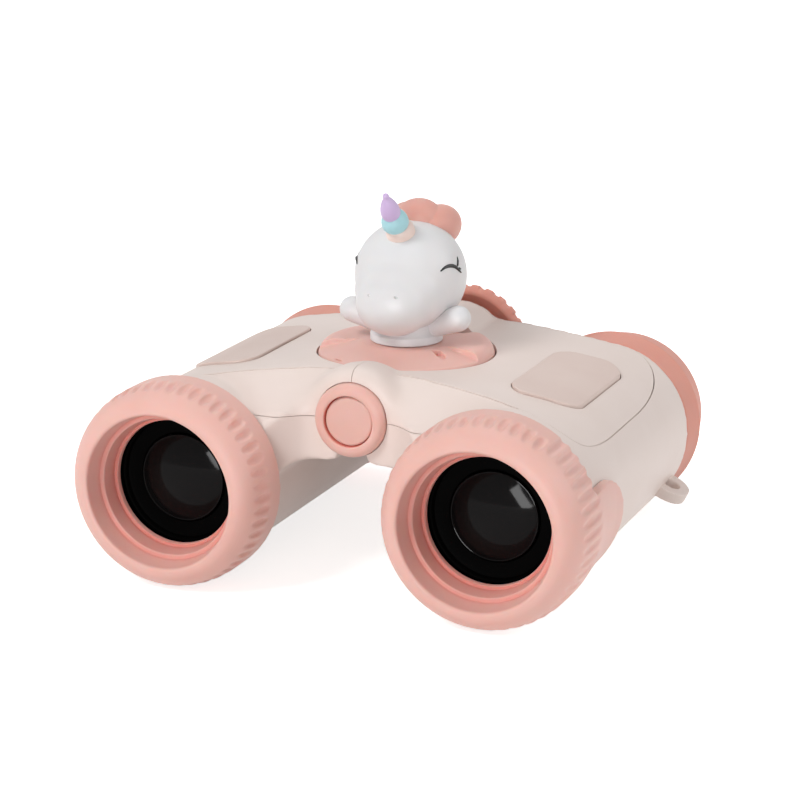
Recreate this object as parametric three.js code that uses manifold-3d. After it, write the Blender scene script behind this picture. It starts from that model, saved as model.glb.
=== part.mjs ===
// Toy binoculars: two barrels on a centre hinge, a focus wheel and a figure on a twist dial.
// Millimetres. X runs across the barrels, +Y from the objectives to the eyecups, +Z up.
// While the pieces are built, Y is counted from the front of the objective rings and Z from the
// barrel axes. The whole assembly is then set down with the rings on Z = 0.
import * as THREE from "three";
import { mergeVertices } from "three/addons/utils/BufferGeometryUtils.js";
import Module from "manifold-3d";

const wasm = await Module();
wasm.setup();

// Clearances
const gap = 0.3; // between neighbouring pieces
const dialGap = 0.4; // round the dial in its pocket

// Case
const barrelSpacing = 66;
const barrelRadius = 18.3;
const shellWall = 1.8;
const bodyRear = 80;
const webRise = 7.9; // upper face of the web over the hinge axis, beside the boss
const webBottom = 5.2;
const webKneeDrop = 1.1; // the underside falls this much towards the barrel
const webKneeInset = 5; // distance of that knee from the barrel
const webFront = 19.5; // front wall of the web on the centre line
const webFrontRadius = 25; // the front wall is hollowed between the barrels
const slopeFoot = 15.5; // the upper front slopes back from here, at the parting height
const slopeHead = 27; // to here, at the upper face
const bossRadius = 10.2; // half-round boss over the hinge
const bossFlare = 0.6; // the boss is this much larger at the rear
const bossFront = 19.6;
const bossEdge = 2.6; // rounding of its front edge

// Cover, the upper shell with its round-cornered outline
const coverReach = 15.4; // from the barrel axis to its outer edge
const coverSideHeight = 9.6;
const coverFront = 19.4;
const coverRearLip = 2.5; // the case shows this much behind it
const coverSlopeReach = 6; // its edge starts to fall this far inside the barrel axis
const coverCorner = 7;

// Finger pads
const padWidth = 14.5;
const padLength = 33;
const padCorner = 2.5;
const padOffset = 1.7; // outwards from the barrel axis
const padSetback = 0.8; // its middle lies this much in front of the dial's
const padProud = 0.6;
const padDepth = 0.9;

// Centre hinge
const hingeHeight = 13.3;
const channelRadius = 6.5; // room round the hinge axis inside both halves
const notchAngle = THREE.MathUtils.degToRad(22); // each half is cut back below the hinge
const knuckleRadius = 6.2;
const spineRadius = 3.6;
const knuckleArmReach = 15.5;
const knuckleArmHeight = 2.8;
const bushingLength = 2.2;
const capRadius = 7.2;
const capLength = 4;
const capFront = 17.7;
const capEdge = 1.4;
const capDiscRadius = 4.7;
const capDiscThickness = 0.9;
const capDiscSetback = 0.3;
const hingeScrewHead = 2.6;
const hingeScrewHeadHeight = 1.1;
const hingeScrewShank = 1.2;
const hingeScrewLength = 8;

// Focus drive
const focusScrewRadius = 1.7;
const nutRadius = 4.4;
const nutGrooveRadius = 2.6;
const nutFlange = 1.5;
const nutKeyWidth = 1.6;
const focusTravel = 2.4;
const armThickness = 2.4;
const armHeight = 3.2;
const railThickness = 1.5;
const railHalfAngle = THREE.MathUtils.degToRad(40);
const bridgeWall = 1.6;
const wheelRadius = 14;
const wheelRibs = 26;
const wheelRibHeight = 0.6;
const wheelStandoff = 2.2; // behind the case
const wheelWidth = 5.2;
const wheelCrownWidth = 1; // full radius only here, the rim falls away behind
const wheelChamfer = 0.8;
const wheelTaper = 1.5;
const wheelHub = 5;
const wheelRim = 2.6;
const wheelWeb = 2.4;
const wheelCapRadius = 4.6;
const wheelCapThickness = 1.2;

// Objective end
const ringOverhang = 2.4; // over the barrel
const ringLength = 13;
const ringFloor = 8.9; // the ring's inner flange ends here
const ringShoulder = 7.5; // depth of its rounded front edge
const lipInset = 2.9; // the mouth's edge, inside the barrel's radius
const lipFlat = 0.8; // flat band round the mouth
const mouthInset = 0.7; // the mouth's inner end, inside the lens cell's radius
const tongueReach = 31;
const tongueTop = 8.5;
const tongueBottom = -16.5;
const tongueHeight = 1; // over the shell
const tongueCorner = 9;

// Optics
const tubeStandoff = 1.2; // between the tube and its seats
const tubeWall = 3;
const tubeFlange = 3;
const cellWall = 1.6; // round the lens cell at the front of the tube
const lensSeat = 17.3;
const lensEdge = 1;
const lensCrown = 4;
const lensBack = 1.2;
const retainerWidth = 3.4;
const retainerRise = 1.4;
const retainerThickness = 0.5;
const carriageLength = 8;
const carriageWall = 3.5; // from the tube's bore to the focus lens
const focusLensThickness = 3.4;
const focusLensHollow = 1;
const eyepieceSeat = 6.9; // length inside the barrel
const eyepieceStep = 2; // the nose is this much smaller than the seat
const noseLength = 10.5;
const noseWall = 4.2;
const ocularLip = 1;
const ocularDepth = 5.3; // from the end of the nose to the lens seat
const ocularThickness = 2.4;
const ocularCrown = 0.9;

// Eyecups
const eyecupLength = 17;
const eyecupStep = 0.3; // its front is this much smaller than the barrel
const eyecupFlare = 0.6; // and its widest place this much larger
const eyecupCreaseLength = 6.8; // from the case to that widest place
const eyecupRimStep = 2.1;
const eyecupWall = 1.7;

// Strap lugs
const lugSetback = 3; // from the rear of the case
const lugLength = 11;
const lugRise = 9; // its upper face above the barrel's lowest line
const lugThickness = 2.6;
const lugStandout = 3; // beyond the barrel
const lugBand = 2.4;
const lugCorner = 3.4;

// Case screws, driven from below
const screwInset = 22.3; // from the barrel axis towards the hinge
const frontScrewOffset = -13.3; // from the middle of the dial
const rearScrewOffset = 3.7;
const screwHead = 1.9;
const screwHeadHeight = 1.3;
const screwShank = 1;
const screwLength = 10;
const screwSink = 0.7;
const postWall = 1.3;

// Dial and figure
const dialCentre = 48.3;
const dialRadius = 18.1;
const pocketRise = 5.3; // the dial's pocket over the hinge axis
const dialDepth = 3.6; // from its crown to the pocket's floor
const dialRimDrop = 1.5; // its edge lies this much below the crown
const dialBandInset = 3.5; // the crown starts this far in from the edge
const postRadius = 3.1;
const scoopInset = 2.5; // finger scoops, from the dial's edge
const scoopSize = new THREE.Vector3(4.4, 8, 3);
const scoopLift = 1;
const indexAngle = THREE.MathUtils.degToRad(-40);
const indexReach = 12.6;
const indexLength = 3.6;
const indexWidth = 2.2;
const indexDepth = 0.8;

// Figure, counted from the middle of the dial's crown
const bodyFoot = 8;
const bodySkirt = 1;
const bodySkirtSlope = 0.6;
const bodyWaist = 6;
const bodyTaper = 0.6;
const bodyHeight = 9;
const headRadius = 11.3;
const headCentre = new THREE.Vector3(0, 2.7, 13.8);
const muzzleCentre = new THREE.Vector3(0, -1.3, 11.4); // joins the snout to the head
const muzzleSize = new THREE.Vector3(9.8, 9.8, 8.8);
const snoutCentre = new THREE.Vector3(0, -5.1, 9.4);
const snoutSize = new THREE.Vector3(7.6, 8.2, 6.6);
const legRadius = 3.2;
const legRoot = new THREE.Vector3(6, -0.7, 4.2);
const legTip = new THREE.Vector3(12.6, -1.9, 6.2);
const hornRoot = new THREE.Vector3(0, -2.5, 22.8);
const hornLean = THREE.MathUtils.degToRad(42);
const hornBaseRadius = 3;
const hornBaseHeight = 2.8;
const hornMiddleRadius = 2.7;
const hornMiddleHeight = 4.2;
const hornTipRadius = 2.1;
const hornTipHeight = 6;
const crestCentre = new THREE.Vector3(0, 7.1, 24.2); // the mane's three lobes
const crestSize = new THREE.Vector3(6.4, 5.2, 4.7);
const napeCentre = new THREE.Vector3(0, 12.5, 20.8);
const napeSize = new THREE.Vector3(6.2, 4.8, 6.4);
const tailCentre = new THREE.Vector3(0, 14.7, 14);
const tailSize = new THREE.Vector3(5, 3.8, 6.4);

// Sides of round pieces
const fine = 36;
const coarse = 20;
const tiny = 10;
const cornerSteps = 5;
const lensSteps = 3;

// Places worked out from the sizes above
const barrelX = barrelSpacing / 2;
const webTop = hingeHeight + webRise;
const pocketFloor = hingeHeight + pocketRise;
const shellBore = barrelRadius - shellWall;
const seatRadius = shellBore - gap; // of what fits inside the barrels
const barrelFront = ringFloor + gap;
const ringRadius = barrelRadius + ringOverhang;
const lipRadius = barrelRadius - lipInset;
const tubeRadius = seatRadius - tubeStandoff;
const tubeBore = tubeRadius - tubeWall;
const tubeRear = bodyRear - eyepieceSeat - gap;
const cellRadius = tubeRadius - cellWall;
const mouthRadius = cellRadius - mouthInset;
const retainerBore = cellRadius - retainerWidth;
const retainerFront = lensSeat - gap - lensEdge - lensCrown;
const focusLensRadius = tubeBore - carriageWall;
const eyepieceNose = seatRadius - eyepieceStep;
const eyepieceRear = bodyRear + noseLength;
const ocularRadius = eyepieceNose - noseWall;
const eyepieceBore = ocularRadius - ocularLip;
const ocularSeat = eyepieceRear - ocularDepth;
const eyecupRear = bodyRear + eyecupLength;
const coverRear = bodyRear - coverRearLip;
const coverSlopeStart = barrelX - coverSlopeReach;
const lugRear = bodyRear - lugSetback;
const lugFront = lugRear - lugLength;
const lugTop = lugRise - barrelRadius;
const lugReach = barrelX + barrelRadius + lugStandout;
const pocketRadius = dialRadius + dialGap;
const pocketFront = dialCentre - pocketRadius;
const pocketRear = dialCentre + pocketRadius;
const dialCrown = pocketFloor + dialDepth;
const padCentre = dialCentre - padSetback;
const screwPlaces = [dialCentre + frontScrewOffset, dialCentre + rearScrewOffset];
const capRear = capFront + capLength;
const spineFront = capRear + gap;
const frontKnuckle = spineFront + gap;
const frontKnuckleLength = (pocketFront - frontKnuckle - 3 * gap) / 2;
const rearKnuckle = pocketRear + 2 * gap;
const rearKnuckleLength = (bodyRear - rearKnuckle - bushingLength - 4 * gap) / 2;
const hingePitch = { front: frontKnuckleLength + gap, rear: rearKnuckleLength + gap };
const bushingFront = rearKnuckle + 2 * hingePitch.rear;
const spineRear = bushingFront + bushingLength + gap;
const nutGroove = armThickness + 2 * gap;
const nutLength = nutGroove + 2 * nutFlange;
const nutRoom = nutLength / 2 + focusTravel + 2 * gap;
const bridgeRear = pocketRear - bridgeWall / 2;
const nutCentre = bridgeRear - nutRoom;
const bridgeFront = nutCentre - nutRoom;
const railInner = nutRadius + gap;
const railOuter = railInner + railThickness;
const innerWall = channelRadius + shellWall; // wall between the hinge channel and the hollow web
const wheelFront = bodyRear + wheelStandoff;
const far = 120; // longer than any piece

// Materials
const finish = (color, roughness, more = {}) =>
  new THREE.MeshStandardMaterial({ color, roughness, metalness: 0, ...more });
const cream = () => finish(0xe6d6ce, 0.5);
const creamPad = () => finish(0xdfcac2, 0.55);
const coral = () => finish(0xe2998b, 0.5);
const coralRubber = () => finish(0xdc9285, 0.7);
const black = () => finish(0x0c0c0d, 0.45);
const glass = () => finish(0x1a1a1c, 0.05, { transparent: true, opacity: 0.5 });
const steel = () => finish(0xb9bcc0, 0.3, { metalness: 1 });
const nylon = () => finish(0xd8d5cf, 0.5);
const white = () => finish(0xecebec, 0.45);
const hornCream = () => finish(0xf0d3c8, 0.45);
const hornCyan = () => finish(0x9ad2da, 0.45);
const hornLilac = () => finish(0xc9a6dd, 0.45);

// A closed three.js geometry as a solid that can be joined and cut.
function toSolid(geometry) {
  const bare = geometry.index ? geometry.toNonIndexed() : geometry.clone();
  bare.deleteAttribute("normal");
  bare.deleteAttribute("uv");
  const merged = mergeVertices(bare, 1e-4);
  const index = merged.index.array;
  const corners = [];
  for (let i = 0; i < index.length; i += 3) {
    const [a, b, c] = index.subarray(i, i + 3);
    if (a !== b && b !== c && c !== a) corners.push(a, b, c);
  }
  const vertProperties = merged.getAttribute("position").array;
  const triVerts = new Uint32Array(corners);
  return new wasm.Manifold(new wasm.Mesh({ numProp: 3, vertProperties, triVerts }));
}

function toGeometry(solid) {
  const { vertProperties, triVerts } = solid.getMesh();
  const geometry = new THREE.BufferGeometry();
  geometry.setAttribute("position", new THREE.BufferAttribute(vertProperties, 3));
  geometry.setIndex(new THREE.BufferAttribute(triVerts, 1));
  geometry.computeVertexNormals();
  return geometry;
}

const join = (first, ...rest) => rest.reduce((sum, next) => sum.add(next), first);
const cut = (first, ...rest) => rest.reduce((left, tool) => left.subtract(tool), first);

// A block between two corners.
function block(low, high) {
  const [x, y, z] = high.map((v, i) => v - low[i]);
  const [cx, cy, cz] = high.map((v, i) => (v + low[i]) / 2);
  return toSolid(new THREE.BoxGeometry(x, y, z).translate(cx, cy, cz));
}

// A profile of [radius, height] points, turned counter-clockwise and closed unless it meets the axis.
function lathe(profile, sides) {
  const points = profile.map(([r, h]) => new THREE.Vector2(r, h));
  if (THREE.ShapeUtils.area(points) < 0) points.reverse();
  if (points[0].x > 0) points.push(points[0].clone());
  return new THREE.LatheGeometry(points, sides);
}

// Turned pieces: along Y about the line x, z and along Z about the line x, y.
const turned = (profile, x, z, sides = fine) => toSolid(lathe(profile, sides).translate(x, 0, z));
const turnedUp = (profile, x, y, sides = fine) =>
  toSolid(lathe(profile, sides).rotateX(Math.PI / 2).translate(x, y, 0));

const rod = (radius, from, to, x, z, sides = fine) =>
  turned([[0, from], [radius, from], [radius, to], [0, to]], x, z, sides);
const rodUp = (radius, from, to, x, y, sides = fine) =>
  turnedUp([[0, from], [radius, from], [radius, to], [0, to]], x, y, sides);
const tube = (outer, inner, from, to, x, z, sides = fine) =>
  turned([[inner, from], [outer, from], [outer, to], [inner, to]], x, z, sides);

// An ellipsoid.
const ball = (centre, size) =>
  toSolid(
    new THREE.SphereGeometry(1, 2 * tiny, tiny)
      .scale(size.x, size.y, size.z)
      .translate(centre.x, centre.y, centre.z),
  );

const extrude = (shape, depth) =>
  new THREE.ExtrudeGeometry(shape, { depth, bevelEnabled: false, curveSegments: cornerSteps });
// Outlines in X and Z drawn out along Y, in X and Y along Z, and in Y and Z along X.
const alongY = (shape, from, to) =>
  toSolid(extrude(shape, to - from).rotateX(Math.PI / 2).translate(0, to, 0));
const alongZ = (shape, from, to) => toSolid(extrude(shape, to - from).translate(0, 0, from));
const alongX = (shape, from, to) =>
  toSolid(extrude(shape, to - from).rotateY(Math.PI / 2).rotateX(Math.PI / 2).translate(from, 0, 0));

const outline = (points) => new THREE.Shape(points.map(([x, y]) => new THREE.Vector2(x, y)));

function roundedRectangle(x0, x1, y0, y1, radius) {
  const shape = new THREE.Shape();
  shape.moveTo(x0 + radius, y0);
  shape.absarc(x1 - radius, y0 + radius, radius, -Math.PI / 2, 0);
  shape.absarc(x1 - radius, y1 - radius, radius, 0, Math.PI / 2);
  shape.absarc(x0 + radius, y1 - radius, radius, Math.PI / 2, Math.PI);
  shape.absarc(x0 + radius, y0 + radius, radius, Math.PI, 1.5 * Math.PI);
  return shape;
}

// A flat bar from one X, Z place to another, of the given height, between two Y planes.
function bar(from, to, height, y0, y1) {
  const [dx, dz] = [to[0] - from[0], to[1] - from[1]];
  const box = new THREE.BoxGeometry(Math.hypot(dx, dz), y1 - y0, height);
  box.rotateY(-Math.atan2(dz, dx));
  return toSolid(box.translate((from[0] + to[0]) / 2, (y0 + y1) / 2, (from[1] + to[1]) / 2));
}

function addPiece(group, name, solid, material) {
  const mesh = new THREE.Mesh(toGeometry(solid), material);
  mesh.name = name;
  group.add(mesh);
  return mesh;
}

// Section of the web and the barrel's crown, grown or shrunk all round.
function webSection(grow) {
  const knee = barrelX - barrelRadius - webKneeInset;
  const flank = barrelX - barrelRadius;
  const shape = new THREE.Shape();
  shape.moveTo(-shellWall, webBottom - grow);
  shape.lineTo(knee, webBottom - webKneeDrop - grow);
  const fillet = webBottom - 2 * webKneeDrop - grow;
  shape.quadraticCurveTo(flank, fillet, flank + shellWall / 2 - grow, -webKneeDrop);
  shape.lineTo(barrelX, 0);
  shape.lineTo(barrelX, barrelRadius + grow);
  const shoulder = (webTop - barrelRadius) / 3;
  const third = (barrelX - bossRadius) / 3;
  shape.bezierCurveTo(
    barrelX - third,
    barrelRadius + shoulder + grow,
    bossRadius + third,
    webTop - shoulder / 3 + grow,
    bossRadius - shellWall,
    webTop + grow,
  );
  shape.lineTo(-shellWall, webTop + grow);
  return shape;
}

// Skin of one half between two offsets from its upper surface, for the pad and its recess.
function crownLayer(outer, inner) {
  const layer = (grow) =>
    join(
      alongY(webSection(grow), webFront, bodyRear),
      rod(barrelRadius + grow, webFront, bodyRear, barrelX, 0),
    );
  return cut(layer(outer), layer(inner));
}

const padPlate = (grow) =>
  alongZ(
    roundedRectangle(
      barrelX + padOffset - padWidth / 2 - grow,
      barrelX + padOffset + padWidth / 2 + grow,
      padCentre - padLength / 2 - grow,
      padCentre + padLength / 2 + grow,
      padCorner + grow,
    ),
    0,
    far,
  );

// The space above the parting between the two shells of a half.
function coverSpace(grow) {
  const parting = hingeHeight - grow;
  const side = coverSideHeight - grow;
  const edge = barrelX + coverReach + grow;
  const above = alongY(
    outline([
      [-far, parting],
      [coverSlopeStart, parting],
      [edge, side],
      [far, side],
      [far, far],
      [-far, far],
    ]),
    -far,
    far,
  );
  const front = roundedRectangle(-far, barrelX - tubeBore, -far, coverRear + grow, coverCorner);
  const crown = roundedRectangle(-far, edge, coverFront - grow, coverRear + grow, coverCorner);
  return join(alongZ(front, -far, far), alongZ(crown, -far, far)).intersect(above);
}

// Outer form of one half before it is hollowed: barrel, web and hinge boss.
function halfForm() {
  const barrel = rod(barrelRadius, barrelFront, bodyRear, barrelX, 0);
  const slope = [slopeHead - slopeFoot, webTop - hingeHeight];
  const reach = far / slope[0];
  const frontWedge = alongX(
    outline([
      [slopeFoot - reach * slope[0], hingeHeight - reach * slope[1]],
      [slopeFoot + reach * slope[0], hingeHeight + reach * slope[1]],
      [-far, hingeHeight + reach * slope[1]],
    ]),
    -far,
    far,
  );
  const scoop = rodUp(webFrontRadius, -far, far, 0, webFront - webFrontRadius, 2 * fine);
  const web = cut(alongY(webSection(0), ringLength + gap, bodyRear), scoop, frontWedge);
  const boss = turned(
    [
      [0, bossFront],
      [bossRadius - bossEdge, bossFront],
      [bossRadius - 0.3 * bossEdge, bossFront + 0.3 * bossEdge],
      [bossRadius, bossFront + bossEdge],
      [bossRadius + bossFlare, bodyRear],
      [0, bodyRear],
    ],
    0,
    hingeHeight,
  );
  const rightSide = block([gap / 2, -far, -far], [far, far, far]);
  const upperBoss = boss.intersect(block([0, -far, webBottom + shellWall], [far, far, far]));
  return join(barrel, web, upperBoss).intersect(rightSide);
}

// Hollow inside the web, clear of the pocket floor, with the posts for the case screws left standing.
function webHollow() {
  const section = alongY(webSection(-shellWall), pocketFront, bodyRear - shellWall);
  const besidePocket = rodUp(pocketRadius + shellWall, pocketFloor - shellWall, far, 0, dialCentre);
  const nearHinge = block([-far, -far, -far], [innerWall, far, far]);
  const posts = screwPlaces.map((y) =>
    rodUp(screwHead + postWall, -far, far, barrelX - screwInset, y, coarse),
  );
  return cut(section, besidePocket, nearHinge, ...posts);
}

// Underside of the web at a distance from the centre line.
function webUnderside(x) {
  const knee = barrelX - barrelRadius - webKneeInset;
  const slope = webKneeDrop / (knee + shellWall);
  return webBottom - slope * (x + shellWall);
}

// The two shells of the right half. Their knuckles lie at the given places along the hinge.
function caseShells(knuckles) {
  const screwX = barrelX - screwInset;
  const headSeat = webUnderside(screwX) + screwSink + screwHeadHeight;
  const halfArm = knuckleArmHeight / 2 + gap;
  const armRoom = armThickness / 2 + focusTravel + 2 * gap;
  const notch = outline([
    [0, hingeHeight],
    [-far, hingeHeight],
    [-far, hingeHeight - far],
    [far * Math.tan(notchAngle), hingeHeight - far],
  ]);
  const tools = [
    rod(shellBore, 0, far, barrelX, 0),
    webHollow(),
    rod(channelRadius, 0, far, 0, hingeHeight),
    rod(capRadius + gap + dialGap, 0, spineFront, 0, hingeHeight),
    rodUp(pocketRadius, pocketFloor, far, 0, dialCentre),
    alongY(notch, -far, far),
    crownLayer(shellWall + padProud, -padDepth - gap).intersect(padPlate(gap)),
    block(
      [0, nutCentre - armRoom, hingeHeight - armHeight / 2 - 2 * gap],
      [innerWall + gap, nutCentre + armRoom, hingeHeight + armHeight / 2 + 2 * gap],
    ),
    block(
      [barrelX, lugFront - gap, lugTop - lugThickness - gap],
      [far, lugRear + gap, lugTop + gap],
    ),
    ...knuckles.map(([from, to]) =>
      block(
        [0, from - gap, hingeHeight - halfArm],
        [knuckleArmReach + gap, to + gap, hingeHeight + halfArm],
      ),
    ),
    ...screwPlaces.map((y) =>
      turnedUp(
        [
          [0, -far],
          [screwHead + gap, -far],
          [screwHead + gap, headSeat + gap],
          [screwShank + gap, headSeat + gap],
          [screwShank + gap, headSeat + screwLength + gap],
          [0, headSeat + screwLength + gap],
        ],
        screwX,
        y,
        coarse,
      ),
    ),
  ];
  const shell = cut(halfForm(), ...tools);
  return { upper: shell.intersect(coverSpace(-gap / 2)), lower: cut(shell, coverSpace(gap / 2)), headSeat };
}

function caseScrew(y, headSeat) {
  return turnedUp(
    [
      [0, headSeat - screwHeadHeight],
      [screwHead, headSeat - screwHeadHeight],
      [screwHead, headSeat],
      [screwShank, headSeat],
      [screwShank, headSeat + screwLength],
      [0, headSeat + screwLength],
    ],
    barrelX - screwInset,
    y,
    tiny,
  );
}

// Objective ring: rounded front edge, stepped mouth, skirt over the barrel and the side tongue.
function objectiveRing() {
  const flat = lipRadius + lipFlat;
  const round = ringRadius - flat;
  const shoulder = [];
  for (let i = 0; i <= 4; i++) {
    const a = (i / 4) * (Math.PI / 2);
    shoulder.push([flat + round * Math.sin(a), ringShoulder * (1 - Math.cos(a))]);
  }
  const step = (lipRadius - mouthRadius) / 5;
  const depth = ringFloor / 3;
  const mouth = [
    [mouthRadius, ringFloor],
    [mouthRadius + step, 2 * depth],
    [mouthRadius + 2 * step, 2 * depth],
    [mouthRadius + 3 * step, depth],
    [mouthRadius + 4 * step, depth],
    [lipRadius, 0],
  ];
  const skirt = [
    [ringRadius, ringLength],
    [barrelRadius + gap, ringLength],
    [barrelRadius + gap, ringFloor],
  ];
  const ring = turned([...mouth, ...shoulder, ...skirt], barrelX, 0);
  const bore = barrelRadius + gap;
  const band = tube(bore + tongueHeight, bore, ringLength - gap, tongueReach, barrelX, 0);
  const side = roundedRectangle(-tongueCorner, tongueReach, tongueBottom, tongueTop, tongueCorner);
  return join(ring, band.intersect(alongX(side, barrelX, far)));
}

// Tube that holds the optics: seats in the barrel at both ends, lens cell in front, slot for the arm.
function opticsTube() {
  const body = turned(
    [
      [seatRadius, barrelFront],
      [seatRadius, barrelFront + tubeFlange],
      [tubeRadius, barrelFront + tubeFlange],
      [tubeRadius, tubeRear - tubeFlange],
      [seatRadius, tubeRear - tubeFlange],
      [seatRadius, tubeRear],
      [tubeBore, tubeRear],
      [tubeBore, lensSeat],
      [cellRadius, lensSeat],
      [cellRadius, barrelFront],
    ],
    barrelX,
    0,
    coarse,
  );
  const room = armThickness / 2 + focusTravel + 2 * gap;
  const { elbow, root } = armPath();
  return cut(body, bar(elbow, root, armHeight + 4 * gap, nutCentre - room, nutCentre + room));
}

// A lens face: points from the axis outwards, bulging by the given crown.
function lensFace(radius, place, crown) {
  const points = [];
  for (let i = 0; i <= lensSteps; i++) {
    const part = i / lensSteps;
    points.push([radius * part, place + crown * part ** 2]);
  }
  return points;
}

function objectiveLens() {
  const radius = cellRadius - gap;
  const rear = lensSeat - gap;
  const front = lensFace(radius, rear - lensEdge - lensCrown, lensCrown);
  const back = lensFace(tubeBore - gap, rear + lensBack, -lensBack).reverse();
  return turned([...front, [radius, rear], ...back], barrelX, 0, coarse);
}

function lensRetainer() {
  const radius = cellRadius - gap;
  const crownAt = (r) => retainerFront + lensCrown * (r / radius) ** 2;
  return turned(
    [
      [radius, crownAt(retainerBore) - retainerThickness - gap - retainerRise],
      [radius, crownAt(radius) - 2 * gap],
      [retainerBore, crownAt(retainerBore) - 2 * gap],
      [retainerBore, crownAt(retainerBore) - 2 * gap - retainerThickness],
    ],
    barrelX,
    0,
    coarse,
  );
}

// Elbow and root of the carriage arm: from the nut's groove across the web, then down to the carriage.
function armPath() {
  const angle = THREE.MathUtils.degToRad(142);
  const reach = (tubeBore + focusLensRadius) / 2;
  const root = [barrelX + reach * Math.cos(angle), reach * Math.sin(angle)];
  return { elbow: [barrelX - barrelRadius, hingeHeight], root };
}

function focusCarriage() {
  const from = nutCentre - carriageLength / 2;
  const to = nutCentre + carriageLength / 2;
  const lensEnd = nutCentre + focusLensThickness / 2;
  const sleeve = turned(
    [
      [tubeBore - gap, from],
      [tubeBore - gap, to],
      [focusLensRadius - 2 * gap, to],
      [focusLensRadius - 2 * gap, lensEnd + gap],
      [focusLensRadius + gap, lensEnd + gap],
      [focusLensRadius + gap, from],
    ],
    barrelX,
    0,
  );
  const [y0, y1] = [nutCentre - armThickness / 2, nutCentre + armThickness / 2];
  const { elbow, root } = armPath();
  const start = [nutGrooveRadius + gap, hingeHeight];
  const across = bar(start, [elbow[0] + armHeight / 4, elbow[1]], armHeight, y0, y1);
  const down = bar(elbow, root, armHeight, y0, y1);
  const lensRoom = rod(focusLensRadius + gap, from - gap, to + gap, barrelX, 0);
  return join(sleeve, cut(join(across, down), lensRoom));
}

function focusLens() {
  const from = nutCentre - focusLensThickness / 2;
  const to = nutCentre + focusLensThickness / 2;
  const front = lensFace(focusLensRadius, from + focusLensHollow, -focusLensHollow);
  const back = lensFace(focusLensRadius, to - focusLensHollow, focusLensHollow).reverse();
  return turned([...front, ...back], barrelX, 0, coarse);
}

function eyepieceHousing() {
  return turned(
    [
      [seatRadius, tubeRear + gap],
      [seatRadius, bodyRear],
      [eyepieceNose, bodyRear],
      [eyepieceNose, eyepieceRear],
      [ocularRadius + gap, eyepieceRear],
      [ocularRadius + gap, ocularSeat],
      [eyepieceBore, ocularSeat],
      [eyepieceBore, tubeRear + gap],
    ],
    barrelX,
    0,
    coarse,
  );
}

function ocularLens() {
  const from = ocularSeat + gap;
  const back = lensFace(ocularRadius, from + ocularThickness + ocularCrown, -ocularCrown).reverse();
  return turned([[0, from], [ocularRadius, from], ...back], barrelX, 0, coarse);
}

// Soft eyecup: widens to a crease, then closes in to the rim.
function eyecup() {
  const front = bodyRear + gap;
  const bore = eyepieceNose + gap;
  const widest = barrelRadius + eyecupFlare;
  const crease = bodyRear + eyecupCreaseLength;
  const rim = barrelRadius - eyecupRimStep;
  const rimStart = eyecupRear - eyecupWall;
  return turned(
    [
      [bore, front],
      [barrelRadius - eyecupStep, front],
      [widest, crease],
      [widest - 0.2 * eyecupWall, crease + eyecupWall],
      [rim + 0.5 * eyecupWall, rimStart],
      [rim, eyecupRear - 0.3 * eyecupWall],
      [rim - 0.5 * eyecupWall, eyecupRear],
      [bore, rimStart],
    ],
    barrelX,
    0,
  );
}

// Loop for a strap, set in a slot of the lower shell.
function strapLug() {
  const root = barrelX - lugCorner;
  const plate = (inset) =>
    roundedRectangle(root, lugReach - inset, lugFront + inset, lugRear - inset, lugCorner - inset);
  const loop = cut(
    alongZ(plate(0), lugTop - lugThickness, lugTop),
    alongZ(plate(lugBand), -far, lugTop + gap),
  );
  const foot = alongZ(plate(0), lugTop - lugThickness, lugTop).intersect(
    rod(barrelRadius, lugFront, lugRear, barrelX, 0),
  );
  const inside = rod(shellBore, 0, bodyRear, barrelX, 0);
  const innerSide = block([0, 0, -far], [barrelX, far, far]);
  return cut(join(loop, foot), inside, innerSide);
}

function fingerPad() {
  return crownLayer(padProud, -padDepth).intersect(padPlate(0));
}

// Ring on the hinge rod with an arm that the two shells clamp.
function knuckle(from, to) {
  const arm = block(
    [spineRadius + gap, from, hingeHeight - knuckleArmHeight / 2],
    [knuckleArmReach, to, hingeHeight + knuckleArmHeight / 2],
  );
  return join(tube(knuckleRadius, spineRadius + gap, from, to, 0, hingeHeight, coarse), arm);
}

// Every piece of one half. The left half is the mirror image, with its knuckles one place further back.
function buildHalf(side) {
  const group = new THREE.Group();
  const mirrored = side === "left";
  group.scale.x = mirrored ? -1 : 1;
  const front = frontKnuckle + (mirrored ? hingePitch.front : 0);
  const rear = rearKnuckle + (mirrored ? hingePitch.rear : 0);
  const knuckles = [
    [front, front + frontKnuckleLength],
    [rear, rear + rearKnuckleLength],
  ];
  const { upper, lower, headSeat } = caseShells(knuckles);
  const add = (name, solid, material) => addPiece(group, `${side}_${name}`, solid, material);
  add("upper_shell", upper, cream());
  add("lower_shell", lower, cream());
  add("finger_pad", fingerPad(), creamPad());
  add("strap_lug", strapLug(), cream());
  add("objective_ring", objectiveRing(), coral());
  add("optics_tube", opticsTube(), black());
  add("objective_lens", objectiveLens(), glass());
  add("lens_retainer", lensRetainer(), black());
  add("focus_carriage", focusCarriage(), black());
  add("focus_lens", focusLens(), glass());
  add("eyepiece_housing", eyepieceHousing(), black());
  add("ocular_lens", ocularLens(), glass());
  add("eyecup", eyecup(), coralRubber());
  add("front_knuckle", knuckle(...knuckles[0]), nylon());
  add("rear_knuckle", knuckle(...knuckles[1]), nylon());
  screwPlaces.forEach((y, i) => add(`case_screw_${i + 1}`, caseScrew(y, headSeat), steel()));
  return group;
}

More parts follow.
